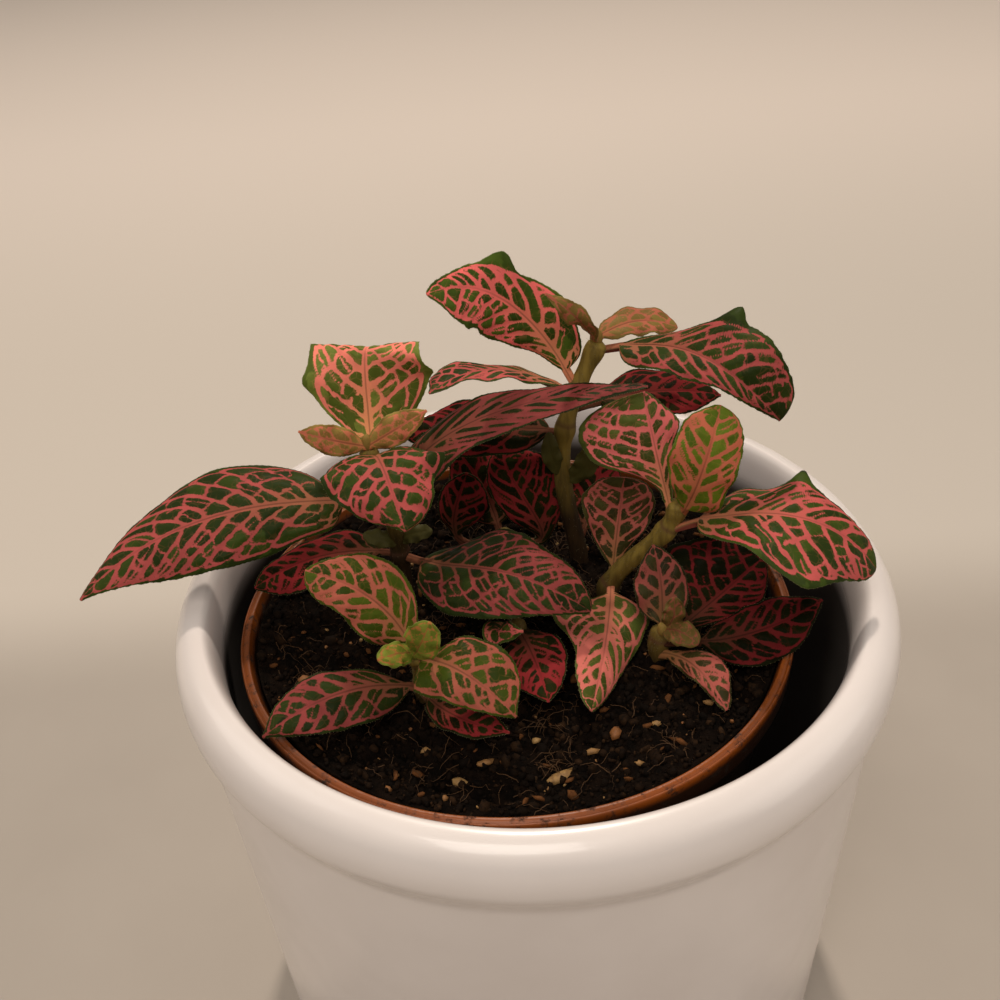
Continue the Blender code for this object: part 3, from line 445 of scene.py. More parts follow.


# a leaf's last number scales its colours: painted light above 1, painted shade below 1
LEAVES = {
    "leaf_left_upright": Leaf(((-32, 4, 155), (-32, 13, 167), (-31.5, 14, 173), (-29, 23.5, 163)),
        ((1, 5.5, 10.5, 12, 13, 10, 5), (2.5, 8, 12, 13.5, 12, 9, 4)),
        ((0.2, -0.9, 0.3), (-0.2, 0.2, 1)), stalk=0.08, fold=5, curl=10,
        peaks=((-1, 0.41, 1.5, 0.5), (1, 0.5, 1, 0.5)), look="warm", vein=1.12, depth=1.5),
    "leaf_left_heart": Leaf(((-31, 2.5, 153.5), (-28.5, -8.5, 161.5), (-24, -21, 153.5)),
        ((1, 6.5, 12, 13, 9.5, 8, 4.5), (5, 10.5, 12.5, 12, 10.5, 7, 2)),
        ((0.1, -0.5, 0.9), (0.2, -0.8, 0.6)), stalk=0.14, fold=(28, 0), curl=(50, 40),
        wave=(1, 3.5), depth=0.85),
    "leaf_left_long": Leaf(((-30, 5, 142), (-52.5, 1, 147), (-71.5, -2, 145), (-94, -11, 134.5)),
        ((6, 8.5, 11, 11.5, 9, 5, 1.5), (3.5, 10, 13, 13.5, 8.5, 4, 1.5)),
        ((0.1, -0.5, 0.8), (-0.2, -0.5, 0.8)), stalk=0.14, fold=(8, 0), curl=(60, 30), vein=0.88,
        slant=0.62, depth=0.8),
    "leaf_left_under": Leaf(((-29, 7, 127), (-47, 5.5, 129), (-61.5, 1.5, 124.5)),
        ((1, 4, 7, 7.5, 7, 5, 2), (2, 4.5, 6.5, 5, 4.5, 3.5, 1.5)), (0, -0.4, 0.9), stalk=0.1,
        look="deep"),
    "leaf_left_arching": Leaf(((-30, 5, 142), (-21.5, 7, 153), (2.5, 6.5, 164),
        (25.5, 3.5, 167.5)), ((2, 4, 6, 6, 4, 2, 1.5), (5, 7.5, 7.5, 6, 5.5, 2, 1)),
        ((0, -0.3, 0.9), (0, -0.2, 1)), fold=8, curl=20, slant=0.6, depth=0.42),
    "leaf_left_wide": Leaf(((-29, 7, 127), (-18.5, -2.5, 130.5), (-7, -13.5, 136.5),
        (11, -20.5, 130)), ((6.5, 10, 13.5, 11.5, 8.5, 7, 3.5), (5, 8.5, 11, 11.5, 9, 5.5, 2)),
        ((0.1, -0.3, 1), (-0.1, -0.5, 0.8)), stalk=0.14, curl=(50, 30), vein=0.8, depth=0.5),
    "leaf_back_upper": Leaf(((12, 19, 161), (3.5, 19.5, 175.5), (-5.5, 15.5, 185), (-17, 7, 189)),
        ((1.5, 3.5, 6.5, 8.5, 7.5, 6.5, 2.5), (4.5, 7, 8.5, 6.5, 5.5, 3, 1.5)),
        ((-0.4, -0.7, 0.6), (0.1, -0.9, 0.5)), stalk=0.08, fold=(8, 5), curl=20,
        peaks=((1, 0.62, 3, 0), (-1, 0.75, 1, 0)), depth=1.75),
    "leaf_back_right": Leaf(((17, 20, 168), (31, 12.5, 171.5), (36.5, 5, 172.5),
        (51.5, -1.5, 160.5)), ((1, 2.5, 5.5, 9, 10.5, 8.5, 5.5), (4.5, 6.5, 7, 6, 4, 2.5, 1)),
        ((0, -0.3, 1), (-0.4, -0.7, 0.6)), stalk=0.1, fold=(25, 15), curl=(40, 30),
        peaks=((-1, 0.52, 3.5, 0.5),), vein=0.86, depth=0.76),
    "leaf_back_shaded": Leaf(((11, 19, 154), (28, 20, 157), (44, 18, 156)), 8, (0, -0.3, 1),
        stalk=0.2, look="deep"),
    "leaf_back_narrow": Leaf(((12, 19, 158), (-6.5, 20, 165), (-19, 12.5, 164.5)),
        ((2, 3, 5.5, 5.5, 4, 2.5, 1), (2.5, 3, 3.5, 6, 8.5, 6.5, 1.5)), ((0, 0.2, 1), (0, 0.1, 1)),
        stalk=0.1, fold=12),
    "leaf_back_dim": Leaf(((10, 18, 149), (-9, 21, 150.5), (-27, 23, 148.5)), (8, 9), (0, -0.4, 1),
        stalk=0.1, look="deep"),
    "leaf_back_deep": Leaf(((-6, 23, 117), (-10, 31, 128), (-16, 35, 137)), 8,
        ((0, -0.8, 0.5), (0, -0.8, 0.6)), stalk=0.15, look="deep"),
    "leaf_right_deep": Leaf(((12, 16, 120), (17, 25, 128), (20, 32, 136)), 7,
        ((0, -0.8, 0.5), (0, -0.8, 0.6)), stalk=0.15, look="deep"),
    "leaf_right_broad": Leaf(((30, -4, 141), (27, 0, 154), (25, 6, 165)),
        ((1, 1.5, 6, 13.5, 15.5, 14, 8.5), (1, 1.5, 2.5, 4, 6, 3.5, 1.5)),
        ((-0.3, -0.9, 0.4), (-0.3, -0.8, 0.6)), stalk=0.1, fold=(15, 5), curl=20, look="rosy",
        depth=1.15),
    "leaf_right_round": Leaf(((32, -5, 142), (34, -9.5, 153), (39, -2.5, 165.5)),
        ((3, 4, 6, 7.5, 7, 6, 2.5), (4.5, 6.5, 6.5, 7, 7, 6, 4)),
        ((-0.2, -0.9, 0.5), (0, -0.9, 0.3)), stalk=0.1, look="lime"),
    "leaf_right_long": Leaf(((29, -3, 136), (35.5, -8.5, 142), (48.5, -17, 148.5),
        (67, -22.5, 137.5)), ((8, 11, 10, 10.5, 8.5, 5.5, 4), (4, 6.5, 9.5, 14, 14.5, 9, 4.5)),
        ((0.1, -0.1, 1), (0.3, -0.4, 0.9)), stalk=0.2,
        peaks=((-1, 0.49, 3.5, 0.5), (1, 0.67, 1, 0)), vein=1.1),
    "leaf_right_inner": Leaf(((18, 2, 118), (20, 7.5, 128.5), (22, 11, 141)),
        ((1, 3, 5.5, 7.5, 9, 7.5, 5), (1, 2.5, 4.5, 7, 8, 7, 4.5)),
        ((-0.1, -0.9, 0.4), (0, -0.9, 0.4)), stalk=0.15, look="dusky", vein=0.9, depth=1.15),
    "leaf_right_pink": Leaf(((18, 2, 119), (14, -20, 120.5), (9, -38.5, 120.5)),
        ((1, 9, 8.5, 7, 5, 3.5, 1.5), (1, 9.5, 12.5, 9, 6, 4.5, 3)),
        ((-0.2, -0.7, 0.6), (0.4, -0.8, 0.5)), stalk=0.08, curl=(35, 50), look="pink", vein=1.15),
    "leaf_low_dark": Leaf(((26, -18, 117.5), (39, -9.5, 121.5), (52, 0, 125)),
        ((7, 11.5, 14.5, 15.5, 13, 9.5, 5.5), (1, 2.5, 4.5, 6.5, 7, 4.5, 1.5)), (0.1, -0.5, 0.9),
        stalk=0.15, look="deep", depth=0.48),
    "leaf_low_pale": Leaf(((26, -17.5, 120), (27, -11, 127), (26, -5, 134)), 6, (0, -0.7, 0.7),
        stalk=0.1, look="dusky", depth=0.7),
    "leaf_low_right": Leaf(((25, -19, 119), (41, -23, 122.8), (58.5, -19.5, 128)),
        ((1.5, 4.5, 5.5, 6, 6, 3.5, 1.5), (1.5, 4.5, 7, 7, 6, 3, 1)),
        ((0, -0.4, 0.9), (0.1, -0.4, 0.9)), stalk=0.25, look="deep", vein=0.85, depth=0.45),
    "leaf_low_small": Leaf(((25, -19, 115.3), (31.5, -30, 121), (35.5, -38.5, 118)),
        ((1, 2.5, 3.5, 5.5, 5, 3, 1.5), (1, 2, 2.5, 2.5, 2, 1.5, 1)),
        ((0, -0.5, 0.9), (0, -0.8, 0.6)), stalk=0.15, curl=50, look="dusky"),
    "leaf_front_left": Leaf(((-24, -30, 129), (-30.5, -27.5, 142), (-43.5, -24.5, 148.5)),
        ((3, 6, 7, 6.5, 5.5, 5, 3), (2, 4, 7, 8, 7, 4, 1.5)),
        ((-0.1, -0.5, 0.9), (-0.2, -0.6, 0.8)), stalk=0.12, look="fresh", vein=0.9, depth=0.66),
    "leaf_front_right": Leaf(((-24, -31, 130), (-17.5, -37, 133.5), (-5.5, -46.5, 128.5)),
        ((1.5, 5.5, 8.2, 8.4, 8.2, 5.6, 1.4), (6, 7.2, 7, 6.4, 5, 3.2, 1.2)),
        ((0.3, -0.5, 0.8), (0.1, -0.6, 0.8)), stalk=0.1, curl=(40, 30), look="fresh", vein=0.9,
        depth=0.5),
    "leaf_front_low": Leaf(((-24, -27, 118), (-38.5, -34.5, 126), (-54, -41, 122)),
        ((2.5, 5.5, 7, 7, 6, 3.5, 1), (1, 2.5, 4, 5.5, 5.5, 4, 1)),
        ((0.1, -0.5, 0.8), (0.1, -0.5, 0.9)), stalk=0.1, curl=(40, 30), vein=0.9, depth=0.52),
    "leaf_front_under": Leaf(((-24, -27, 117), (-14, -41, 122), (-7, -46, 124)), (5, 3.5),
        (0, -0.4, 1), stalk=0.1, look="deep"),
    "leaf_centre_left": Leaf(((-6, 23, 117), (-17, 22, 121), (-16, 22, 129.5), (-13, 21, 138.5)),
        ((1, 1.5, 3.5, 4.5, 4, 2.5, 1), (2, 4, 6.5, 8, 7, 4.5, 2)),
        ((0, -0.8, 0.5), (0, -0.9, 0.4)), stalk=0.35, look="deep"),
    "leaf_centre_right": Leaf(((-5, 23, 118), (3.5, 20, 119), (1, 18.5, 129.5), (-4, 26, 142)),
        ((1, 1.5, 4, 6, 6.5, 4.5, 2), (1, 2, 5, 11, 11, 7.5, 4)),
        ((0, -0.9, 0.5), (-0.2, -0.9, 0.4)), stalk=0.16, look="deep", vein=0.9, depth=1.12),
    "leaf_middle_red": Leaf(((-4, -14, 121), (-1, -26, 123), (1, -36, 121)), 7, (0, -0.6, 0.8),
        stalk=0.1, look="deep"),
    "leaf_middle_small": Leaf(((-4, -14, 121.5), (-8, -20, 126), (-3, -25, 130)), 3.4,
        (0, -0.6, 0.8), stalk=0.1, vein=0.7),
}
print("leaves:", len(LEAVES))


# %% Curve and half width
def curve_through(points, s):
    """Positions and directions at s (0 to 1) on the curve p(s) = sum of p_i * L_i(s), with L_i
    the Lagrange polynomials on the points' chord lengths."""
    p = np.array(points, float)
    steps = np.linalg.norm(np.diff(p, axis=0), axis=1)
    knots = np.concatenate([[0], np.cumsum(steps)]) / steps.sum()
    position = np.zeros((len(s), 3))
    direction = np.zeros((len(s), 3))
    for i, at in enumerate(knots):
        value = np.ones_like(s)
        slope = np.zeros_like(s)
        for other in np.delete(knots, i):
            slope = (slope * (s - other) + value) / (at - other)
            value = value * (s - other) / (at - other)
        position += value[:, None] * p[i]
        direction += slope[:, None] * p[i]
    return position, unit(direction)


def half_width(t, leaf, side):
    """Half width in mm at t, from the stalk's end (0) to the tip (1); side 0 is the left one.

    One number is the greatest half width of t^swell (1 - t)^taper. Several numbers are half
    widths at t = (1 - cos(pi k / n)) / 2, joined by a smooth curve that ends at 0."""
    width, swell, taper = leaf.width[side], leaf.swell[side], leaf.taper[side]
    if isinstance(width, tuple):
        known = np.array([0, *width, 0], float)
        place = np.arccos(1 - 2 * np.clip(t, 0, 1)) / pi * (len(known) - 1)
        first = np.minimum(place.astype(int), len(known) - 2)
        f = place - first
        slope = np.gradient(known)
        a, b = known[first], known[first + 1]
        rise, fall = slope[first], slope[first + 1]
        curve = a + f * rise + f ** 2 * (3 * (b - a) - 2 * rise - fall) \
            + f ** 3 * (2 * (a - b) + rise + fall)
        return np.maximum(curve, 0)
    top = swell / (swell + taper)
    return width * t ** swell * (1 - t) ** taper / (top ** swell * (1 - top) ** taper)


# %% [markdown]
# ## The vein net
# The nerve plant is named for its net of pink veins. Strong side veins leave the midrib in pairs,
# sweep towards the tip and join in loops a little inside the margin. Finer ones cross between them,
# so that green islands are left in rows. The net is worked out as a distance. Laid flat, the strip
# between two side veins is a straight band, so how far a point is from its side veins, from the
# cross veins of its strip, from the loop and from the midrib are four short sums. A smooth minimum
# of them rounds the islands' corners. What comes out is a distance in millimetres, less the vein's
# own half width: negative on a vein, positive on an island.


# %% Vein net as a distance field
FAR = 9.0
EASE = 0.17
CROSSINGS = 14
SPARE_STRIPS = 12
LEFT_OUT = 0.1
SPLIT = 0.3


def side_veins(length):
    """How many side veins leave each side of a midrib: one every 4 to 6 mm."""
    return max(round(length / (3.5 + 0.03 * length)), 3)


def vein_start(t, r, slant):
    """Where on the midrib the side vein through (t, r) starts, and its slopes along t and r.

    A side vein runs through t = q + a D(q) with a = slant * r^1.2, the sweep
    D(q) = (1 - q) (1 - exp(-4 q)), and q its start. Newton's rule finds q in a few steps."""
    a = slant * r ** 1.2
    q = np.clip(t - 0.5 * a, 0, 1)
    for _ in range(8):
        fall = np.exp(-4 * q)
        sweep = (1 - q) * (1 - fall)
        slope = 1 + a * ((1 - q) * 4 * fall - (1 - fall))
        q = np.clip(q - (q + a * sweep - t) / slope, -0.02, 1)
    return q, 1 / slope, -1.2 * slant * r ** 0.2 * sweep / slope


def softest(first, second):
    """Smooth minimum: -e ln(exp(-a / e) + exp(-b / e)), with e = EASE mm."""
    low = np.minimum(first, second)
    return low - EASE * np.log1p(np.exp(-np.abs(first - second) / EASE))


def strips_at(leaf, length, t, out, side, seed, draw):
    """Half width, share of it, place across the strips, and that place's slopes per mm along
    the blade and outwards. Strip k lies between the side veins that start at k and k + 1."""
    rows = side_veins(length)
    wide = np.maximum(half_width(t, leaf, side), 0.3)
    r = np.clip(out / wide, 0, 1)
    start, forward, outward = vein_start(t, r, leaf.slant)
    flat = np.stack([rows * start, out / 4.2], -1)
    place = flat[:, 0] + 0.1 * noise_waves(flat, 1.6, seed + side) \
        + 0.05 * noise_waves(flat, 0.45, seed + 7 + side) + draw.uniform(0, 1)
    return wide, r, place, forward * rows / length, outward * rows / wide


def cross_veins(leaf, strips, row, f, out, inner, spacing, skew, strength, draw):
    """Distance to the cross veins of each point's strip, row, and the tone of its island.

    They run from one side vein (f = 0) to the next (f = 1), evenly spread from the midrib out
    to the loop at inner, then shifted and tilted at random. A few of them are left out."""
    shape = (strips, CROSSINGS)
    count = np.clip(np.round(inner / leaf.cell + 0.2), 1, CROSSINGS - 2)
    shifts = draw.uniform(-0.24, 0.24, shape)
    tilts = draw.uniform(-0.35, 0.35, shape)
    halves = draw.uniform(0.1, 0.27, shape)
    halves[draw.random(shape) < LEFT_OUT] = -3.0
    size = inner / count
    along = (out / inner) ** 1.08 * count + np.clip(skew / size, 0, 0.9) * (f - 0.5)
    place = along - np.arange(CROSSINGS)[:, None] - shifts[row].T
    lean = tilts[row].T * (f - 0.5)[None]
    cross = np.abs(place + lean) * size * 0.85 - halves[row].T * strength
    cross[0] = FAR
    island = np.minimum((place + lean > 0).sum(0), CROSSINGS)
    # some islands are split once more along the strip, most of all near the stalk
    shape = (strips, CROSSINGS + 1)
    likely = SPLIT + 0.5 * np.exp(-np.arange(strips)[:, None] / 1.5)
    split = draw.random(shape) < likely
    middle = 0.5 + draw.uniform(-0.12, 0.12, shape)
    fork = np.abs(f - middle[row, island]) * spacing - 0.18 * strength
    fork = np.where(split[row, island], fork, FAR)
    return np.minimum(cross.min(0), fork), draw.random(shape)[row, island]


def half_net(leaf, length, t, out, side, seed, draw):
    """Distance to the nearest vein's edge, and the island's tone, on one side of the midrib.

    t runs along the blade and out is the distance from the midrib in mm. A step across the
    strips, divided by the length of their gradient, is a distance in mm."""
    strips = side_veins(length) + SPARE_STRIPS
    wide, r, across, forward, outward = strips_at(leaf, length, t, out, side, seed, draw)
    steep = np.hypot(forward, outward)
    spacing = 1 / steep
    strip = np.floor(across).astype(int)
    f = across - strip
    strength = leaf.vein * np.clip(wide / 5, 0.5, 1) * np.clip((1 - t) / 0.12, 0.15, 1)
    # loops bow outwards between two side veins; inner is how far they are from the midrib
    band = np.clip(0.14 * wide, 0.75, 1.8) * (0.8 + 0.6 * (2 * f - 1) ** 4)
    inner = np.maximum(wide - band, 0.15)
    past = out - inner
    loop = np.abs(past) - 0.3 * strength * np.clip(wide / 6, 0.6, 1)
    thick = draw.uniform(0.85, 1.15, strips)[np.round(across).astype(int) % strips]
    veins = np.abs(f - np.round(f)) * spacing - (0.47 - 0.2 * r) * strength * thick \
        + 1.1 * np.clip(past, 0, None)
    cross, tone = cross_veins(leaf, strips, strip % strips, f, out, inner, spacing,
                              -outward / steep ** 2, strength, draw)
    found = softest(veins, cross + 2.5 * np.clip(past, 0, None))
    found = softest(found, np.where(past < 2.0, loop, FAR))
    return softest(found, out - strength * (0.92 - 0.7 * t)), tone


def vein_net(leaf, length, t, reach, seed):
    """Both halves of the net; reach is the distance from the midrib, negative on the left."""
    draw = np.random.default_rng(seed)
    field, tone = np.zeros(t.shape), np.zeros(t.shape)
    for side, part in enumerate((reach < 0, reach >= 0)):
        field[part], tone[part] = half_net(leaf, length, t[part], np.abs(reach[part]), side, seed,
                                           draw)
    return field, tone


# %% [markdown]
# ## From the net to a blade
# The blade's fine grid has a point about every third of a millimetre. Veins lie a little deeper
# than the puffed-up islands, the part between two side veins is quilted, and the margin is finely
# scalloped. The underside is the same sheet pushed down by the blade's thickness, with the midrib
# standing proud. Both sheets share one rim, so the leaf is a closed solid, like the real one.


# %% Bending a blade
GRID_PITCH = 0.33
PEAK_SPREAD = 0.055
STALK_WIDTH = 0.9
TIP_WIDTH = 0.3


def blade_grid(leaf, length):
    """s along the leaf and u across it, about GRID_PITCH mm apart and closer at the ends, and
    the sweep of side veins that suits the leaf's shape."""
    lengthwise = int(np.clip(length / GRID_PITCH, 24, 190))
    widest = max(np.max(leaf.width[0]), np.max(leaf.width[1]))
    crosswise = 2 * int(np.clip(widest / GRID_PITCH, 8, 56))
    t = np.linspace(0, 1, lengthwise + 1)
    t = 0.6 * t + 0.2 * (1 - np.cos(pi * t))
    s = np.concatenate([np.linspace(0, leaf.stalk, 6)[:-1], leaf.stalk + (1 - leaf.stalk) * t])
    return s, np.linspace(-1, 1, crosswise + 1), min(2.5 * widest / length, 0.75)


def outline(leaf, t, u):
    """Half width at each grid point, peaks included, and how far the peaks lift the margin."""
    left, right = (half_width(t[:, 0], leaf, side)[:, None] for side in (0, 1))
    full = np.where(u < 0, left, right)
    raised = 0 * t
    for side, at, out, rise in leaf.peaks:
        bell = (u * side > 0) * np.exp(-((t - at) / PEAK_SPREAD) ** 2)
        full = full + out * bell
        raised = raised + rise * u ** 2 * bell
    return full, raised


def section(leaf, s, u, width):
    """Places across and above the midrib, the margin's wave, and the slope. The section is an
    arc that leaves the midrib at the fold angle and turns down by the curl at the margin."""
    v = np.abs(u)
    fold = np.radians(leaf.fold[0] * (1 - s) + leaf.fold[1] * s)
    curl = np.radians(leaf.curl[0] * (1 - s) + leaf.curl[1] * s) + 0.001
    slope = fold - curl * v
    across = np.sign(u) * width * (np.sin(fold) - np.sin(slope)) / curl
    height = width * (np.cos(slope) - np.cos(fold)) / curl
    size, count = leaf.wave
    phase = 0.7 * leaf.rib[-1][0] + 1.9 * (u > 0)
    wave = size * v ** 2 * np.sin(2 * pi * count * s + phase) * np.sin(pi * s) ** 0.5
    return across, height, wave, slope


def thickness(leaf, s, u, width):
    """Distance of the upper and of the lower sheet from the grid, how near the stalk a point is,
    and its distance from the margin: a thin sheet with a keel below goes over to a round stalk."""
    stalky = np.clip(1 - (s - leaf.stalk) / 0.12, 0, 1) * np.ones_like(width)
    v = np.abs(u)
    edge = (1 - v) * width
    thin = 0.12 + 0.4 * np.clip(edge / 1.2, 0, 1)
    keel = 0.9 * np.exp(-(v * width / 0.9) ** 2) * (1 - 0.8 * s)
    stalk = 1.7 * np.sqrt(1 - 0.97 * v ** 2)
    over = 0.5 * thin * (1 - stalky) + 0.42 * stalk * stalky
    under = (0.5 * thin + keel) * (1 - stalky) + 0.58 * stalk * stalky
    return over, under, stalky, edge


# %% Leaf blades
def leaf_points(leaf, seed):
    """Upper and lower sheets of a leaf on an (s, u) grid, in mm, and the fields for its finish:
    rib(s) + across * right + height * up, moved along the normal by half the thickness."""
    rib = np.array(leaf.rib, float)
    length = np.linalg.norm(np.diff(rib, axis=0), axis=1).sum() * (1 - leaf.stalk)
    s, u, slant = blade_grid(leaf, length)
    leaf = replace(leaf, slant=leaf.slant or slant)
    rib, along = curve_through(leaf.rib, s)
    s, u = s[:, None], u[None, :]
    face = [unit(np.array(way, float)) for way in leaf.face]
    right = unit(np.cross(along, face[0] * (1 - s) + face[1] * s))
    up = np.cross(right, along)
    t = np.clip((s - leaf.stalk) / (1 - leaf.stalk), 0, 1) + 0 * u
    v = np.abs(u)
    full, raised = outline(leaf, t, u)
    net, tone = (part.reshape(t.shape) for part in vein_net(
        leaf, length, t.ravel(), (np.sign(u) * v * full).ravel(), seed))
    # scallops and quilting follow the side veins, and fade out on the stalk
    blade = np.clip(t / 0.06, 0, 1)
    phase = 2 * pi * side_veins(length) * vein_start(t, v + 0 * t, leaf.slant)[0]
    notch = 0.1 * np.clip(full / 6, 0.2, 1) * (np.cos(phase) - 1) * blade
    notch = notch + 0.05 * np.sin(2 * pi * length / 1.3 * t + seed) * blade
    width = np.maximum(full, np.where(s < 0.5, STALK_WIDTH, TIP_WIDTH)) + notch * v ** 4
    across, height, wave, slope = section(leaf, s, u, width)
    island = np.clip((net + 0.2) / 1.4, 0, 1)
    island = island * island * (3 - 2 * island)
    quilt = 0.24 * island - 0.15 - 0.2 * np.cos(phase) * v ** 0.7 * (1 - v) ** 0.5
    height = height + raised + wave + np.clip(full / 8, 0, 1) * blade * quilt
    grid = rib[:, None] + right[:, None] * across[..., None] + up[:, None] * height[..., None]
    normal = (up[:, None] * np.cos(slope)[..., None]
              - right[:, None] * (np.sign(u) * np.sin(slope))[..., None])
    over, under, stalky, edge = thickness(leaf, s, u, width)
    root = np.clip((1 - t) ** 1.5 * np.exp(-(v * full / 5) ** 2), 0, 1) + stalky * 0.6
    fields = {"net": net, "tone": tone, "edge": edge, "axis": v * width,
              "depth": 0 * t + leaf.depth, "root": root}
    return grid + over[..., None] * normal, grid - under[..., None] * normal, fields


def two_sheets(upper, lower):
    """Points and faces of a closed body from an upper and a lower grid with a shared rim."""
    rows, columns = upper.shape[:2]
    count = rows * columns
    top = belt(rows, columns, closed=False)
    index = np.arange(count).reshape(rows, columns)
    rim = np.concatenate([index[0, ::-1], index[1:, 0], index[-1, 1:], index[-2:0:-1, -1]])
    follow = np.roll(rim, -1)
    wall = np.stack([rim, follow, follow + count, rim + count], 1)
    points = np.concatenate([upper.reshape(-1, 3), lower.reshape(-1, 3)])
    return points, [top, top[:, ::-1] + count, wall]


# %% [markdown]
# ## Leaf finish
# One network paints every leaf, and each kind of leaf gives it its own colours. The deep kind is
# painted shade, darker colours for shaded leaves, and each leaf scales its colours by its own
# factor, which paints light or shade on it. The stored distance is turned into a mask with a soft
# step, so the veins stay crisp however close the camera comes. Along the midrib and the stalk the
# pink turns to a salmon brown, with a line of painted shade in the midrib's groove. The islands
# vary a little in their green. The margin is paler, partly from its hairs and partly as a painted
# highlight. A fine crackle gives the skin its cells, and the underside is paler.


# %% Leaf finish
def mixed(share, first, second):
    """A colour between two colours."""
    return tuple((1 - share) * a + share * b for a, b in zip(first, second))


def leaf_finish(name, vein, stem, dark, light, under, gloss=0.08):
    """vein: net colour; stem: midrib and stalk; dark, light: islands; under: underside."""
    black = (0, 0, 0)
    made = Finish(name, 0.58, gloss)
    net, edge, root = made.field("net"), made.field("edge"), made.field("root")
    jag = made.ramp(made.noise(2300.0, 2.0), 0.3, 0.7, -0.08, 0.08, "LINEAR")
    mask = made.ramp(made.math("ADD", net, jag), 0.1, -0.1)
    # veinlets thinner than a hair run from the net into the islands
    veinlet = made.math("MULTIPLY", made.ramp(made.walls(520.0), 0.06, 0.025),
                        made.ramp(net, 1.0, 0.0, 0.02, 0.4))
    veinlet = made.math("MULTIPLY", veinlet, made.ramp(edge, 0.8, 1.8))
    island = made.blend(made.ramp(made.field("tone"), 0.0, 1.0), dark, light)
    island = made.patches(420.0, 0.45, 0.8, island, dark, most=0.55)
    island = made.blend(veinlet, island, mixed(0.55, vein, light))
    pink = made.patches(260.0, 0.35, 0.75, vein, mixed(0.18, vein, black), most=0.5)
    pink = made.blend(made.ramp(root, 0.1, 0.9), pink, stem)
    # painted shade: a thin darker line in the midrib's groove, strongest near the stalk
    groove = made.math("MULTIPLY", made.ramp(made.field("axis"), 0.3, 0.08),
                       made.ramp(root, 0.0, 0.5, 0.1, 0.55))
    pink = made.blend(groove, pink, mixed(0.45, stem, black))
    face = made.blend(mask, island, pink)
    # the margin is painted paler: partly its pale hairs, partly a painted highlight where the edge
    # catches the light
    rim = made.ramp(edge, 0.2, 0.02, 0.0, 0.45)
    face = made.blend(rim, face, mixed(0.5, light, (140, 134, 112)))
    back = made.blend(made.math("MULTIPLY", mask, 0.6), under, vein)
    face = made.blend(made.field("back"), face, back)
    # painted light and shade: the colours are scaled by the leaf's own factor, lighter for a leaf
    # that should look lit, darker for one that should look shaded
    depth = made.add("ShaderNodeVectorMath", {"operation": "SCALE"}, Vector=face,
                     Scale=made.field("depth"))
    made.link(depth.outputs["Vector"], "Base Color")
    made.link(made.ramp(mask, 0.0, 1.0, 0.52, 0.66), "Roughness")
    made.relief(made.walls(1500.0), 0.00012, 0.35)
    return made


LEAF_COLOURS = {
    # kind: veins, midrib, dark and light islands, underside, and gloss where it is less
    "mature": ((192, 88, 84), (170, 106, 76), (38, 50, 12), (58, 74, 20), (92, 88, 54)),
    "warm": ((214, 116, 100), (200, 134, 90), (66, 76, 24), (98, 108, 44), (120, 108, 66)),
    "rosy": ((216, 108, 104), (190, 124, 88), (58, 64, 24), (84, 92, 38), (118, 98, 66)),
    "fresh": ((212, 114, 92), (190, 124, 84), (58, 72, 12), (86, 102, 20), (110, 104, 54)),
    "lime": ((190, 102, 76), (176, 106, 70), (66, 84, 16), (96, 112, 28), (120, 112, 56)),
    "dusky": ((172, 88, 78), (140, 96, 60), (46, 42, 18), (66, 62, 28), (104, 84, 54)),
    "pink": ((208, 112, 100), (190, 118, 88), (56, 66, 22), (82, 92, 36), (150, 100, 74)),
    # painted shade: darker colours for leaves that lie in shade, low and far back in the pot
    "deep": ((136, 42, 44), (100, 60, 44), (24, 26, 9), (36, 40, 14), (60, 50, 34), 0.02),
    "young": ((200, 112, 86), (180, 112, 74), (126, 100, 50), (144, 122, 62), (150, 120, 66)),
    "bud": ((176, 110, 60), (150, 122, 56), (92, 106, 32), (126, 134, 50), (130, 124, 58)),
}
LOOKS = {kind: leaf_finish("leaf_" + kind, *row) for kind, row in LEAF_COLOURS.items()}
print("leaf finishes:", len(LOOKS))


# %% Build the leaves
LEAF_SEED = 40


def blade_body(leaf, seed):
    """Points, faces and fields of a whole leaf, both sheets, and its upper sheet."""
    upper, lower, fields = leaf_points(leaf, seed)
    points, faces = two_sheets(upper, lower)
    fields = {key: np.concatenate([v.ravel(), v.ravel()]) for key, v in fields.items()}
    fields["back"] = np.repeat([0.0, 1.0], upper[..., 0].size)
    return points, faces, fields, upper


def joined(bodies):
    """Several bodies as one: points and fields end to end, faces renumbered."""
    start = np.cumsum([0] + [len(b[0]) for b in bodies])
    points = np.concatenate([b[0] for b in bodies])
    faces = [f + start[i] for i, b in enumerate(bodies) for f in b[1]]
    fields = {key: np.concatenate([b[2][key] for b in bodies]) for key in bodies[0][2]}
    return points, faces, fields


sheets = []
for order, (name, leaf) in enumerate(LEAVES.items()):
    points, faces, fields, upper = blade_body(leaf, LEAF_SEED + order)
    add_piece("blade_" + name[5:], points, faces, LOOKS[leaf.look], name, fields)
    sheets.append(upper)
print("leaf points:", 2 * sum(upper[..., 0].size for upper in sheets))

# %% [markdown]
# ## Shoot tips
# At the end of each stem a bud sits between two young leaves. The young leaves are the same kind of
# surface as the big ones, only smaller, olive to orange, and with a faint net. The bud is an oval
# whose two halves clasp each other, so its section has a shallow groove.


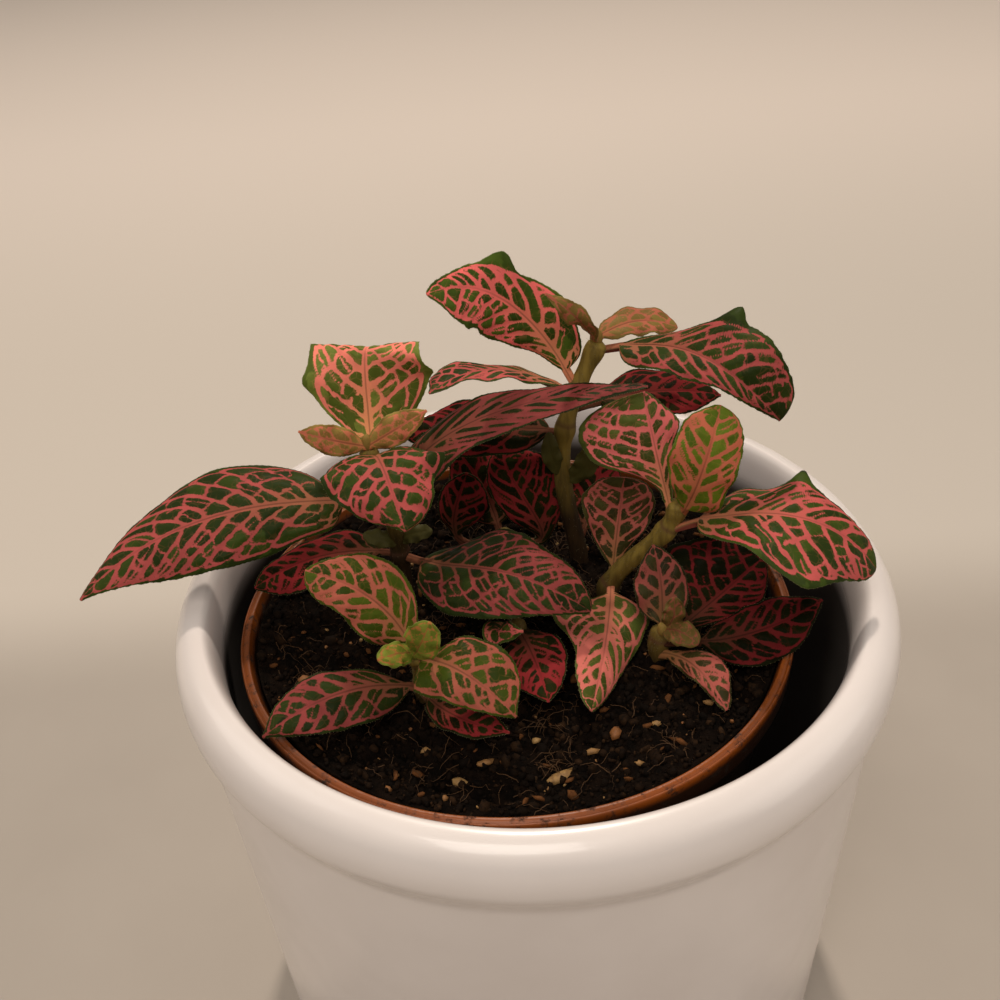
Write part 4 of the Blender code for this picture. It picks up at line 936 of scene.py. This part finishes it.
# %% Young leaves
ROUND = {"swell": 0.5, "taper": 0.5}
TIPS = {
    # bud centre and radii, kind, two leaves
    "tip_left": ((-32, 2.6, 159.4), (1.3, 1.2, 2.0), "young", (
        Leaf(((-32, 2.6, 158.6), (-39, -1, 163), (-44, -4, 167)), 3.2,
             ((-0.2, -0.9, 0.6), (0, -0.8, 0.6)), vein=0.75, cell=1.6, depth=1.12),
        Leaf(((-32, 2.6, 158.6), (-25, 0, 164), (-19, -1, 168)), (3.4, 3.2),
             ((0.2, -0.9, 0.6), (0, -0.8, 0.6)), vein=0.75, cell=1.6, depth=1.12))),
    "tip_back": ((17, 20, 171), (1.4, 1.3, 2.2), "young", (
        Leaf(((17, 20, 170.5), (25, 23, 172.5), (35, 24, 170)), (4.5, 3.5), (0, -0.5, 1),
             **ROUND, vein=0.8, cell=1.8, depth=0.78),
        Leaf(((17, 20, 170.5), (13, 14, 178), (6, 10, 186)), 2.5,
             ((-0.6, -0.7, 0.3), (-0.3, -0.6, 0.8)), vein=0.6, cell=1.6, depth=0.85))),
    "tip_front": ((-24, -32, 133), (1.2, 1.2, 1.8), "bud", (
        Leaf(((-24, -32, 132.5), (-22, -36, 139), (-20, -36.5, 144)), 3.8, (0, -0.7, 0.6),
             **ROUND, vein=0.3, cell=1.3),
        Leaf(((-24, -32, 132.5), (-27, -34.5, 135), (-30.5, -37, 136)), 2.6, (0, -0.6, 0.8),
             **ROUND, vein=0.4, cell=1.3))),
    "tip_low": ((26, -19.5, 123), (1.2, 1.2, 1.8), "young", (
        Leaf(((26, -19.5, 122.5), (29, -23, 125), (32, -26, 124)), 3, (0, -0.6, 1), **ROUND,
             vein=0.3, cell=1.5, depth=0.45),
        Leaf(((26, -19.5, 122.5), (28, -20, 127), (28, -19, 131)), 2.4, (0, -0.9, 0.4), **ROUND,
             vein=0.4, cell=1.4, depth=0.45))),
}
print("young leaves:", sum(len(tip[3]) for tip in TIPS.values()))


# %% Buds
TIP_SEED = 90


def bud(centre, radii, rings=20, steps=28):
    """An oval: (a sin f cos g, b sin f sin g, c cos f), drawn in by 12% along two grooves."""
    f = np.linspace(0.02, pi - 0.02, rings)[::-1, None]
    g = np.linspace(0, 2 * pi, steps, endpoint=False)[None]
    groove = 1 - 0.12 * np.exp(-(np.sin(g - 0.6) / 0.16) ** 2) * np.sin(f)
    point = np.stack([radii[0] * groove * np.sin(f) * np.cos(g),
                      radii[1] * groove * np.sin(f) * np.sin(g),
                      radii[2] * np.cos(f) + 0 * g], -1).reshape(-1, 3)
    plain = {"net": 0.6, "tone": 0.5, "edge": 2.0, "root": 0.0, "axis": 2.0, "back": 0.0,
             "depth": 1.0}
    fields = {key: np.full(len(point), value) for key, value in plain.items()}
    return point + np.array(centre), capped(rings, steps), fields


for order, (name, (centre, radii, look, leaves)) in enumerate(TIPS.items()):
    bodies = [bud(centre, radii)]
    bodies += [blade_body(leaf, TIP_SEED + 5 * order + i)[:3] for i, leaf in enumerate(leaves)]
    points, faces, fields = joined(bodies)
    add_piece("young_" + name, points, faces, LOOKS[look], name, fields)
print("shoot tips:", len(TIPS))

# %% [markdown]
# ## Stems
# A stem is a circle carried along the same kind of curve as the midribs. Its radius swells at
# each node, where a pair of leaves sits. Its skin is olive, streaked lengthwise and redder just
# above each node. Near the mix it is dark brown, partly its own browner colour and partly painted
# shade. Two stems carry a pair of small scale leaves.

# %% Stem table and finish
STEMS = {
    # points of the axis, radius at the base and at the top, heights of the nodes
    "stem_left": (((-29, 7, 108), (-29, 7, 118), (-29, 7, 127), (-30, 5, 142), (-32, 3, 157)),
                  (2.1, 1.5), (127, 142, 156)),
    "stem_back": (((12, 16, 108), (12, 16, 118), (9, 18, 146), (12, 19, 158), (17, 20, 169)),
                  (2.2, 1.7), (150, 159, 168)),
    "stem_right": (((17, 2, 108), (17, 2, 116), (24, -1, 129), (29, -3, 136), (31, -4, 143)),
                   (2.2, 1.7), (118, 136, 142)),
    "stem_front": (((-24, -26, 108), (-24, -26, 118), (-24, -31, 131)), (1.9, 1.5), (118, 131)),
    "stem_low": (((25, -19, 108), (25, -19, 114), (26, -18, 121)), (1.9, 1.5), (118, 121)),
    "stem_centre": (((-6, 23, 108), (-6, 23, 113), (-5, 23, 119)), (1.8, 1.5), (117,)),
    "stem_middle": (((-4, -13, 108), (-4, -13, 114), (-4, -14, 122)), (1.8, 1.4), (121,)),
}
# heights between which a stem turns from dark brown, partly painted shade, to green
BROWN_AND_SHADE_TO_GREEN = (112, 130)
TALL_TO_GREEN = {"stem_back": (128, 146), "stem_left": (128, 150)}
BRACTS = {
    "stem_left": (
        Leaf(((-29, 7, 131), (-32, 4, 134), (-36, 3, 136)), 2.2, (0, -0.6, 0.8), **ROUND,
             vein=0.3),
        Leaf(((-29, 7, 131), (-25, 5, 134), (-21, 4, 135)), 2.2, (0, -0.6, 0.8), **ROUND,
             vein=0.3)),
    "stem_back": (
        Leaf(((9.5, 17.5, 139), (6.5, 14.5, 145), (6, 14, 152)), 2.2, (0, -0.9, 0.4), **ROUND,
             vein=0.3),
        Leaf(((9.5, 17.5, 137), (13.5, 14.5, 142), (15, 14, 149)), 2.8, (0, -0.9, 0.4), **ROUND,
             vein=0.3)),
}

skin = Finish("stem_olive", 0.6, 0.2)
drawn_out = skin.add("ShaderNodeMapping", Vector=skin.spot, Scale=(1.0, 1.0, 0.18))
streak = skin.noise(700.0, 3.0, at=drawn_out.outputs["Vector"])
stripe = skin.ramp(streak, 0.35, 0.7)
# painted shade: low down the skin is dark brown, partly the stem's own browner base
olive = skin.blend(skin.field("height"), skin.blend(stripe, (52, 36, 18), (36, 24, 12)),
                   skin.blend(stripe, (140, 118, 52), (106, 88, 38)))
olive = skin.blend(skin.field("ring"), olive, (86, 56, 40))
skin.link(skin.blend(skin.field("leafy"), olive, (72, 68, 28)), "Base Color")
skin.relief(streak, 0.0003, 0.5)
print("stems in the table:", len(STEMS))


# %% Stems
BRACT_SEED = 120
HAIR_SEED = 200
HAIR_SHARE = 0.1
HAIR_FLOOR = 117


def stem_points(axis, radius, nodes, stations=110, sides=26, cap=8):
    """Ring (i, j) is axis(i) + r(i, j) (first cos a + second sin a), with r swelling by a
    bell-shaped 0.6 mm at each node, and lengthwise ridges of 4%. The last rings round the end."""
    s = np.linspace(0, 1, stations)
    middle, along = curve_through(axis, s)
    r = radius[0] * (1 - s) + radius[1] * s
    ring = np.zeros(stations)
    for height in nodes:
        r = r + 0.6 * np.exp(-((middle[:, 2] - height) / 2.2) ** 2)
        ring = ring + np.exp(-((middle[:, 2] - height - 1.6) / 0.5) ** 2)
    end = np.linspace(0, 1, cap)[1:]
    beyond = along[-1] * np.linspace(0, 1.4, cap)[1:, None]
    middle = np.concatenate([middle, middle[-1] + beyond])
    along = np.concatenate([along, np.repeat(along[-1:], cap - 1, axis=0)])
    r = np.concatenate([r, r[-1] * np.sqrt(np.clip(1 - end ** 2, 0.01, 1))])
    ring = np.concatenate([ring, np.zeros(cap - 1)])
    first = unit(np.cross(np.array([0.0, 1.0, 0.0]), along))
    second = np.cross(along, first)
    a = np.linspace(0, 2 * pi, sides, endpoint=False)
    ridged = r[:, None] * (1 + 0.04 * np.sin(5 * a + 0.1 * middle[:, 2:3]))
    out = first[:, None] * np.cos(a)[None, :, None] + second[:, None] * np.sin(a)[None, :, None]
    points = middle[:, None] + ridged[..., None] * out
    return points, out, np.clip(ring, 0, 1)[:, None] + 0 * a


hairs = []
for order, (name, (axis, radius, nodes)) in enumerate(STEMS.items()):
    grid, out, ring = stem_points(axis, radius, nodes)
    rows, sides = grid.shape[:2]
    brown_and_shade, green = TALL_TO_GREEN.get(name, BROWN_AND_SHADE_TO_GREEN)
    height = np.clip((grid[..., 2] - brown_and_shade) / (green - brown_and_shade), 0, 1)
    fields = {"height": height.ravel(), "ring": 0.7 * ring.ravel(), "leafy": np.zeros(height.size)}
    bodies = [(grid.reshape(-1, 3), capped(rows, sides), fields)]
    for i, bract in enumerate(BRACTS.get(name, ())):
        points, faces = blade_body(bract, BRACT_SEED + i)[:2]
        one = np.ones(len(points))
        bodies.append((points, faces, {"height": one, "ring": 0 * one, "leafy": one}))
    points, faces, fields = joined(bodies)
    add_piece("skin_" + name, points, faces, skin, name, fields)
    pick = np.random.default_rng(HAIR_SEED + order).random((rows, sides)) < HAIR_SHARE
    pick &= grid[..., 2] > HAIR_FLOOR
    hairs.append((grid[pick], out[pick], np.full(pick.sum(), 0.65)))
print("stems:", len(STEMS))

# %% [markdown]
# ## Hairs
# The stems and the leaf margins carry short pale hairs, which catch the light from behind. Each
# hair is a three-sided spike. All the spikes are made at once: one small pattern of four points
# is scaled and set on every root by broadcasting.

# %% Hairs on stems and margins
THIRDS = np.array([0, 2 * pi / 3, 4 * pi / 3])
HAIR_RADIUS = 0.035
HAIR_SUNK = 0.03

for sheet in sheets:
    for side, inside in ((0, 3), (-1, -4)):
        rim = sheet[8:, side]
        outward = unit(rim - sheet[8:, inside])
        hairs.append((rim[::2], outward[::2], np.full(len(rim[::2]), 0.3)))
draw = np.random.default_rng(7)
root = np.concatenate([h[0] for h in hairs])
way = unit(np.concatenate([h[1] for h in hairs]) + draw.normal(scale=0.3, size=root.shape))
reach = np.concatenate([h[2] for h in hairs]) * draw.uniform(0.6, 1.2, len(root))
across = unit(np.cross(way, [0.3, 0.2, 1.0]))
other = np.cross(way, across)
foot = root[:, None] + HAIR_RADIUS * (
    across[:, None] * np.cos(THIRDS)[:, None] + other[:, None] * np.sin(THIRDS)[:, None]) \
    - HAIR_SUNK * way[:, None]
spike = np.concatenate([foot, (root + way * reach[:, None])[:, None]], axis=1)
pattern = np.array([(0, 1, 3), (1, 2, 3), (2, 0, 3), (0, 2, 1)])
faces = (np.arange(len(root))[:, None, None] * 4 + pattern).reshape(-1, 3)
down = speckled("pale_hair", 0.6, 0.3, 50.0, (140, 132, 100), (118, 108, 80))
add_piece("fine_hairs", spike.reshape(-1, 3), [faces], down)
print("hairs:", len(root))

# %% [markdown]
# ## Potting mix
# The top of the mix is a height field on a polar grid: a low mound, the same round lumps as on the
# plain solid, and finer and finer noise on top. Loose crumbs, grains, bark chips and root fibres
# lie on it. Each kind is one mesh: a small pattern is repeated, and every copy is turned, stretched
# and roughened by whole-array sums.

# %% Surface of the mix
MIX_CENTRE = np.array([-4.0, -4.5])
MIX_RADIUS = 55.6
MIX_LEVEL = 114.0
LUMPS = 70


def mix_height(x, y):
    """A mound of 1.2 mm, a bank of 4.4 mm against the rim, seeded lumps and noise, in mm."""
    away = np.hypot(x, y) / MIX_RADIUS
    z = MIX_LEVEL + 1.2 * (1 - away ** 2) + 4.4 * away ** 9
    draw = np.random.default_rng(5)
    for _ in range(LUMPS):
        spread = MIX_RADIUS * 0.93 * draw.random() ** 0.5
        turn = 2 * pi * draw.random()
        size = draw.uniform(3.0, 6.0)
        rise = draw.uniform(-1.0, 1.5)
        near = (x - spread * cos(turn)) ** 2 + (y - spread * sin(turn)) ** 2
        z = z + rise * np.exp(-near / size ** 2) * (away < 0.99)
    flat = np.stack([x, y], -1)
    rough = 0.9 * noise_waves(flat, 7, 11) + 0.55 * noise_waves(flat, 3.2, 12, 40)
    rough = rough + 0.35 * noise_waves(flat, 1.5, 13, 60)
    return z + rough * np.clip((1 - away) * 12, 0.15, 1) - 0.2


soil = Finish("potting_mix", 0.9, 0.04)
damp = soil.noise(260.0, 5.0, 0.7)
base = soil.blend(soil.ramp(damp, 0.35, 0.75), (9, 6, 4), (28, 19, 13))
soil.link(soil.patches(900.0, 0.64, 0.78, base, (58, 42, 27), detail=2.0), "Base Color")
soil.link(soil.ramp(damp, 0.3, 0.7, 0.7, 0.95), "Roughness")
soil.relief(soil.noise(700.0, 4.0, 0.7), 0.0012, 0.9)

RINGS, SPOKES = 150, 420
SIDE_WALL = ((55.5, 108.0), (50.0, 75.0), (42.0, 12.5), (41.3, 11.8), (0.3, 11.8))
turn = np.linspace(0, 2 * pi, SPOKES, endpoint=False)
far = MIX_RADIUS * np.linspace(0.004, 1, RINGS)
x, y = np.outer(far, np.cos(turn)), np.outer(far, np.sin(turn))
top = np.stack([x, y, mix_height(x, y)], -1)
top[..., :2] *= 1 + 0.018 * (far[:, None, None] / MIX_RADIUS) ** 12
wall = turned_points(SIDE_WALL, SPOKES).reshape(-1, SPOKES, 3)
shell = np.concatenate([top, wall])[::-1].reshape(-1, 3) + np.array([*MIX_CENTRE, 0])
add_piece("mix_body", shell, capped(len(shell) // SPOKES, SPOKES), soil, "potting_mix")
print("mix top:", top[..., 2].min(), "to", top[..., 2].max())


# %% Shapes of grains and where they lie
def icosahedron():
    """Twelve corners (0, 1, g), with g = (1 + sqrt 5) / 2, and twenty faces."""
    g = (1 + 5 ** 0.5) / 2
    corners = unit(np.array([(-1, g, 0), (1, g, 0), (-1, -g, 0), (1, -g, 0), (0, -1, g),
                             (0, 1, g), (0, -1, -g), (0, 1, -g), (g, 0, -1), (g, 0, 1),
                             (-g, 0, -1), (-g, 0, 1)]))
    faces = np.array([(0, 11, 5), (0, 5, 1), (0, 1, 7), (0, 7, 10), (0, 10, 11), (1, 5, 9),
                      (5, 11, 4), (11, 10, 2), (10, 7, 6), (7, 1, 8), (3, 9, 4), (3, 4, 2),
                      (3, 2, 6), (3, 6, 8), (3, 8, 9), (4, 9, 5), (2, 4, 11), (6, 2, 10),
                      (8, 6, 7), (9, 8, 1)])
    return corners, faces


def lumps(places, sizes, seed, rough=0.22, level=0):
    """Irregular grains: the corners of an icosahedron, each pushed in or out, stretched along
    three axes, turned at random and set at its place. The first grains, level of them, lie
    flat with their longest axis near x."""
    draw = np.random.default_rng(seed)
    corners, faces = icosahedron()
    n = len(places)
    first = unit(draw.normal(size=(n, 3)) * (1, 1, 0.35))
    first[:level] = unit(draw.normal(size=(level, 3)) * (0, 0.25, 0.05) + (1, 0, 0))
    rest = draw.normal(size=(n, 3))
    rest[:level] = (0, 0, 1)
    second = unit(np.cross(rest, first))
    axes = np.stack([first, second, np.cross(first, second)], axis=1)
    shape = corners[None] * (1 + draw.uniform(-rough, rough, (n, 12, 1))) * sizes[:, None]
    points = np.einsum("nvk,nkc->nvc", shape, axes) + places[:, None]
    return points.reshape(-1, 3), [(np.arange(n)[:, None, None] * 12 + faces).reshape(-1, 3)]


def on_mix(x, y):
    """Points of the mix's surface at x and y of the frame."""
    return np.stack([x, y, mix_height(x - MIX_CENTRE[0], y - MIX_CENTRE[1])], -1)


def scatter(count, seed, inside=54.5):
    """Places spread evenly over the mix's disc, on its surface."""
    draw = np.random.default_rng(seed)
    reach = inside * draw.random(count) ** 0.5
    way = draw.uniform(0, 2 * pi, count)
    return on_mix(reach * np.cos(way) + MIX_CENTRE[0], reach * np.sin(way) + MIX_CENTRE[1])


def grain_finish(name, roughness, specular, dark, light, scale, low, most, stain, bump):
    """Each grain has its tone between dark and light, and carries stains and fine bumps."""
    made = Finish(name, roughness, specular)
    tone = made.blend(made.field("tone"), dark, light)
    made.link(made.patches(scale, low, 0.7, tone, stain, most=most), "Base Color")
    made.relief(made.noise(2 * scale), 0.0003, bump)
    return made


# %% Dark crumbs
CRUMBS = 6400
crumb_skin = grain_finish("dark_crumb", 0.85, 0.06, (9, 6, 4), (62, 42, 25), 900.0, 0.4, 1.0,
                          (18, 12, 8), 0.6)
draw = np.random.default_rng(21)
middling = draw.gamma(3.0, 0.16, CRUMBS)[:, None]
sizes = np.clip(middling, 0.2, 1.3) * draw.uniform(0.5, 1.5, (CRUMBS, 3))
points, faces = lumps(scatter(CRUMBS, 22, 55.8), sizes, 23, 0.3)
tone = np.repeat(np.clip(draw.beta(1.0, 4.5, CRUMBS), 0, 1), 12)
add_piece("mix_crumbs", points, faces, crumb_skin, fields={"tone": tone})
print("crumbs:", CRUMBS)

# %% Tan grains and bark chips
GRAINS = 150
CHIPS = np.array([
    # x, y, half length, half width, half height, tone
    (-49.5, -20.0, 1.5, 1.1, 0.9, 0.1), (-45.5, -25.5, 1.4, 1.0, 0.9, 0.9),
    (-17.0, -49.5, 1.7, 1.1, 0.8, 0.8), (-23.5, -40.5, 1.3, 1.0, 0.8, 0.6),
    (13.5, -40.0, 1.3, 1.8, 0.9, 0.05), (2.5, -49.0, 4.2, 1.5, 0.8, 0.75),
    (-12.0, -45.5, 2.2, 0.8, 0.6, 0.4), (8.5, -44.0, 1.9, 0.7, 0.6, 0.5),
    (22.0, -38.5, 1.2, 0.9, 0.6, 0.7), (17.0, -47.5, 1.2, 0.7, 0.5, 0.6),
    (-2.0, -41.5, 1.1, 0.8, 0.6, 0.9), (33.0, -34.0, 1.2, 0.8, 0.6, 0.5)])
grain_skin = grain_finish("tan_grain", 0.6, 0.35, (120, 72, 32), (160, 128, 78), 700.0, 0.45,
                          0.6, (84, 54, 28), 0.5)
draw = np.random.default_rng(31)
places = np.concatenate([on_mix(CHIPS[:, 0], CHIPS[:, 1]) + (0, 0, 0.5),
                         scatter(GRAINS, 32) + (0, 0, 0.15)])
small = draw.uniform(0.2, 0.6, (GRAINS, 1)) * draw.uniform(0.6, 1.4, (GRAINS, 3))
points, faces = lumps(places, np.concatenate([CHIPS[:, 2:5], small]), 33, level=len(CHIPS))
tone = np.repeat(np.concatenate([CHIPS[:, 5], draw.beta(1.2, 2.0, GRAINS)]), 12)
add_piece("mix_grains", points, faces, grain_skin, fields={"tone": tone})
print("grains and chips:", len(places))

# %% [markdown]
# ## Bark and roots
# Bits of bark are the same grains, made long and flat by their three sizes. Root fibres are thin
# tubes that bend, arch and kink. Over half of them lie scattered, the others in small tangles.

# %% Bits of bark
BITS = 170
draw = np.random.default_rng(51)
sizes = draw.uniform(0.35, 1.1, (BITS, 1)) * draw.uniform(0.7, 1.2, (BITS, 3)) * (1.7, 0.9, 0.55)
points, faces = lumps(scatter(BITS, 52, 54.0) + (0, 0, 0.3), sizes, 53, rough=0.4)
bark_skin = speckled("bark_bit", 0.8, 0.1, 800.0, (42, 24, 13), (118, 74, 38))
add_piece("mix_bark", points, faces, bark_skin)
print("bark bits:", BITS)


# %% Root fibres
def fibres(starts, ways, length, rise, bend, thick, seed, stations=9):
    """Thin three-sided tubes: start + way * d + sideways * bend * sin(2.6 d) + up * rise *
    sin(pi d), d running from 0 to 1, with small random kinks added up along the way."""
    n = len(starts)
    up = np.array([0, 0, 1.0])
    d = np.linspace(0, 1, stations)[None, :, None]
    flat = np.stack([np.cos(ways), np.sin(ways), 0 * ways], -1)[:, None]
    side = np.stack([-np.sin(ways), np.cos(ways), 0 * ways], -1)[:, None]
    line = starts[:, None] + flat * d * length[:, None, None] \
        + side * bend[:, None, None] * np.sin(2.6 * d) \
        + up * rise[:, None, None] * np.sin(pi * d)
    kinks = np.random.default_rng(seed).normal(0, 0.045, (n, stations, 3))
    line = line + np.cumsum(kinks, axis=1) * length[:, None, None]
    ring = side[:, :, None] * np.cos(THIRDS)[:, None] + up * np.sin(THIRDS)[:, None]
    slim = thick[:, None, None, None] * (1 - 0.6 * d[..., None])
    last = 3 * stations - 1
    caps = np.array([(0, 1, 2), (last, last - 1, last - 2)])
    step = (np.arange(n) * 3 * stations)[:, None, None]
    points = line[:, :, None] + slim * ring
    return points.reshape(-1, 3), [(belt(stations, 3) + step).reshape(-1, 4),
                                   (caps + step).reshape(-1, 3)]


STRAY, TANGLED, TANGLES = 400, 360, 18
FIBRES = STRAY + TANGLED
draw = np.random.default_rng(41)
middles = scatter(TANGLES, 44, 50.0)[np.arange(TANGLED) % TANGLES]
strewn = np.random.default_rng(45).normal(0, 1, (TANGLED, 3)) * (2.0, 2.0, 0.35)
starts = np.concatenate([scatter(STRAY, 42, 54.0), middles + strewn]) + (0, 0, 0.5)
points, faces = fibres(starts, draw.uniform(0, 2 * pi, FIBRES), draw.uniform(1.5, 6.5, FIBRES),
                       draw.uniform(0.0, 1.6, FIBRES), draw.uniform(-0.7, 0.7, FIBRES),
                       draw.uniform(0.05, 0.13, FIBRES), 43)
fibre_skin = speckled("root_fibre", 0.7, 0.3, 60.0, (30, 19, 10), (104, 72, 40))
add_piece("mix_fibres", points, faces, fibre_skin)
print("fibres:", FIBRES)
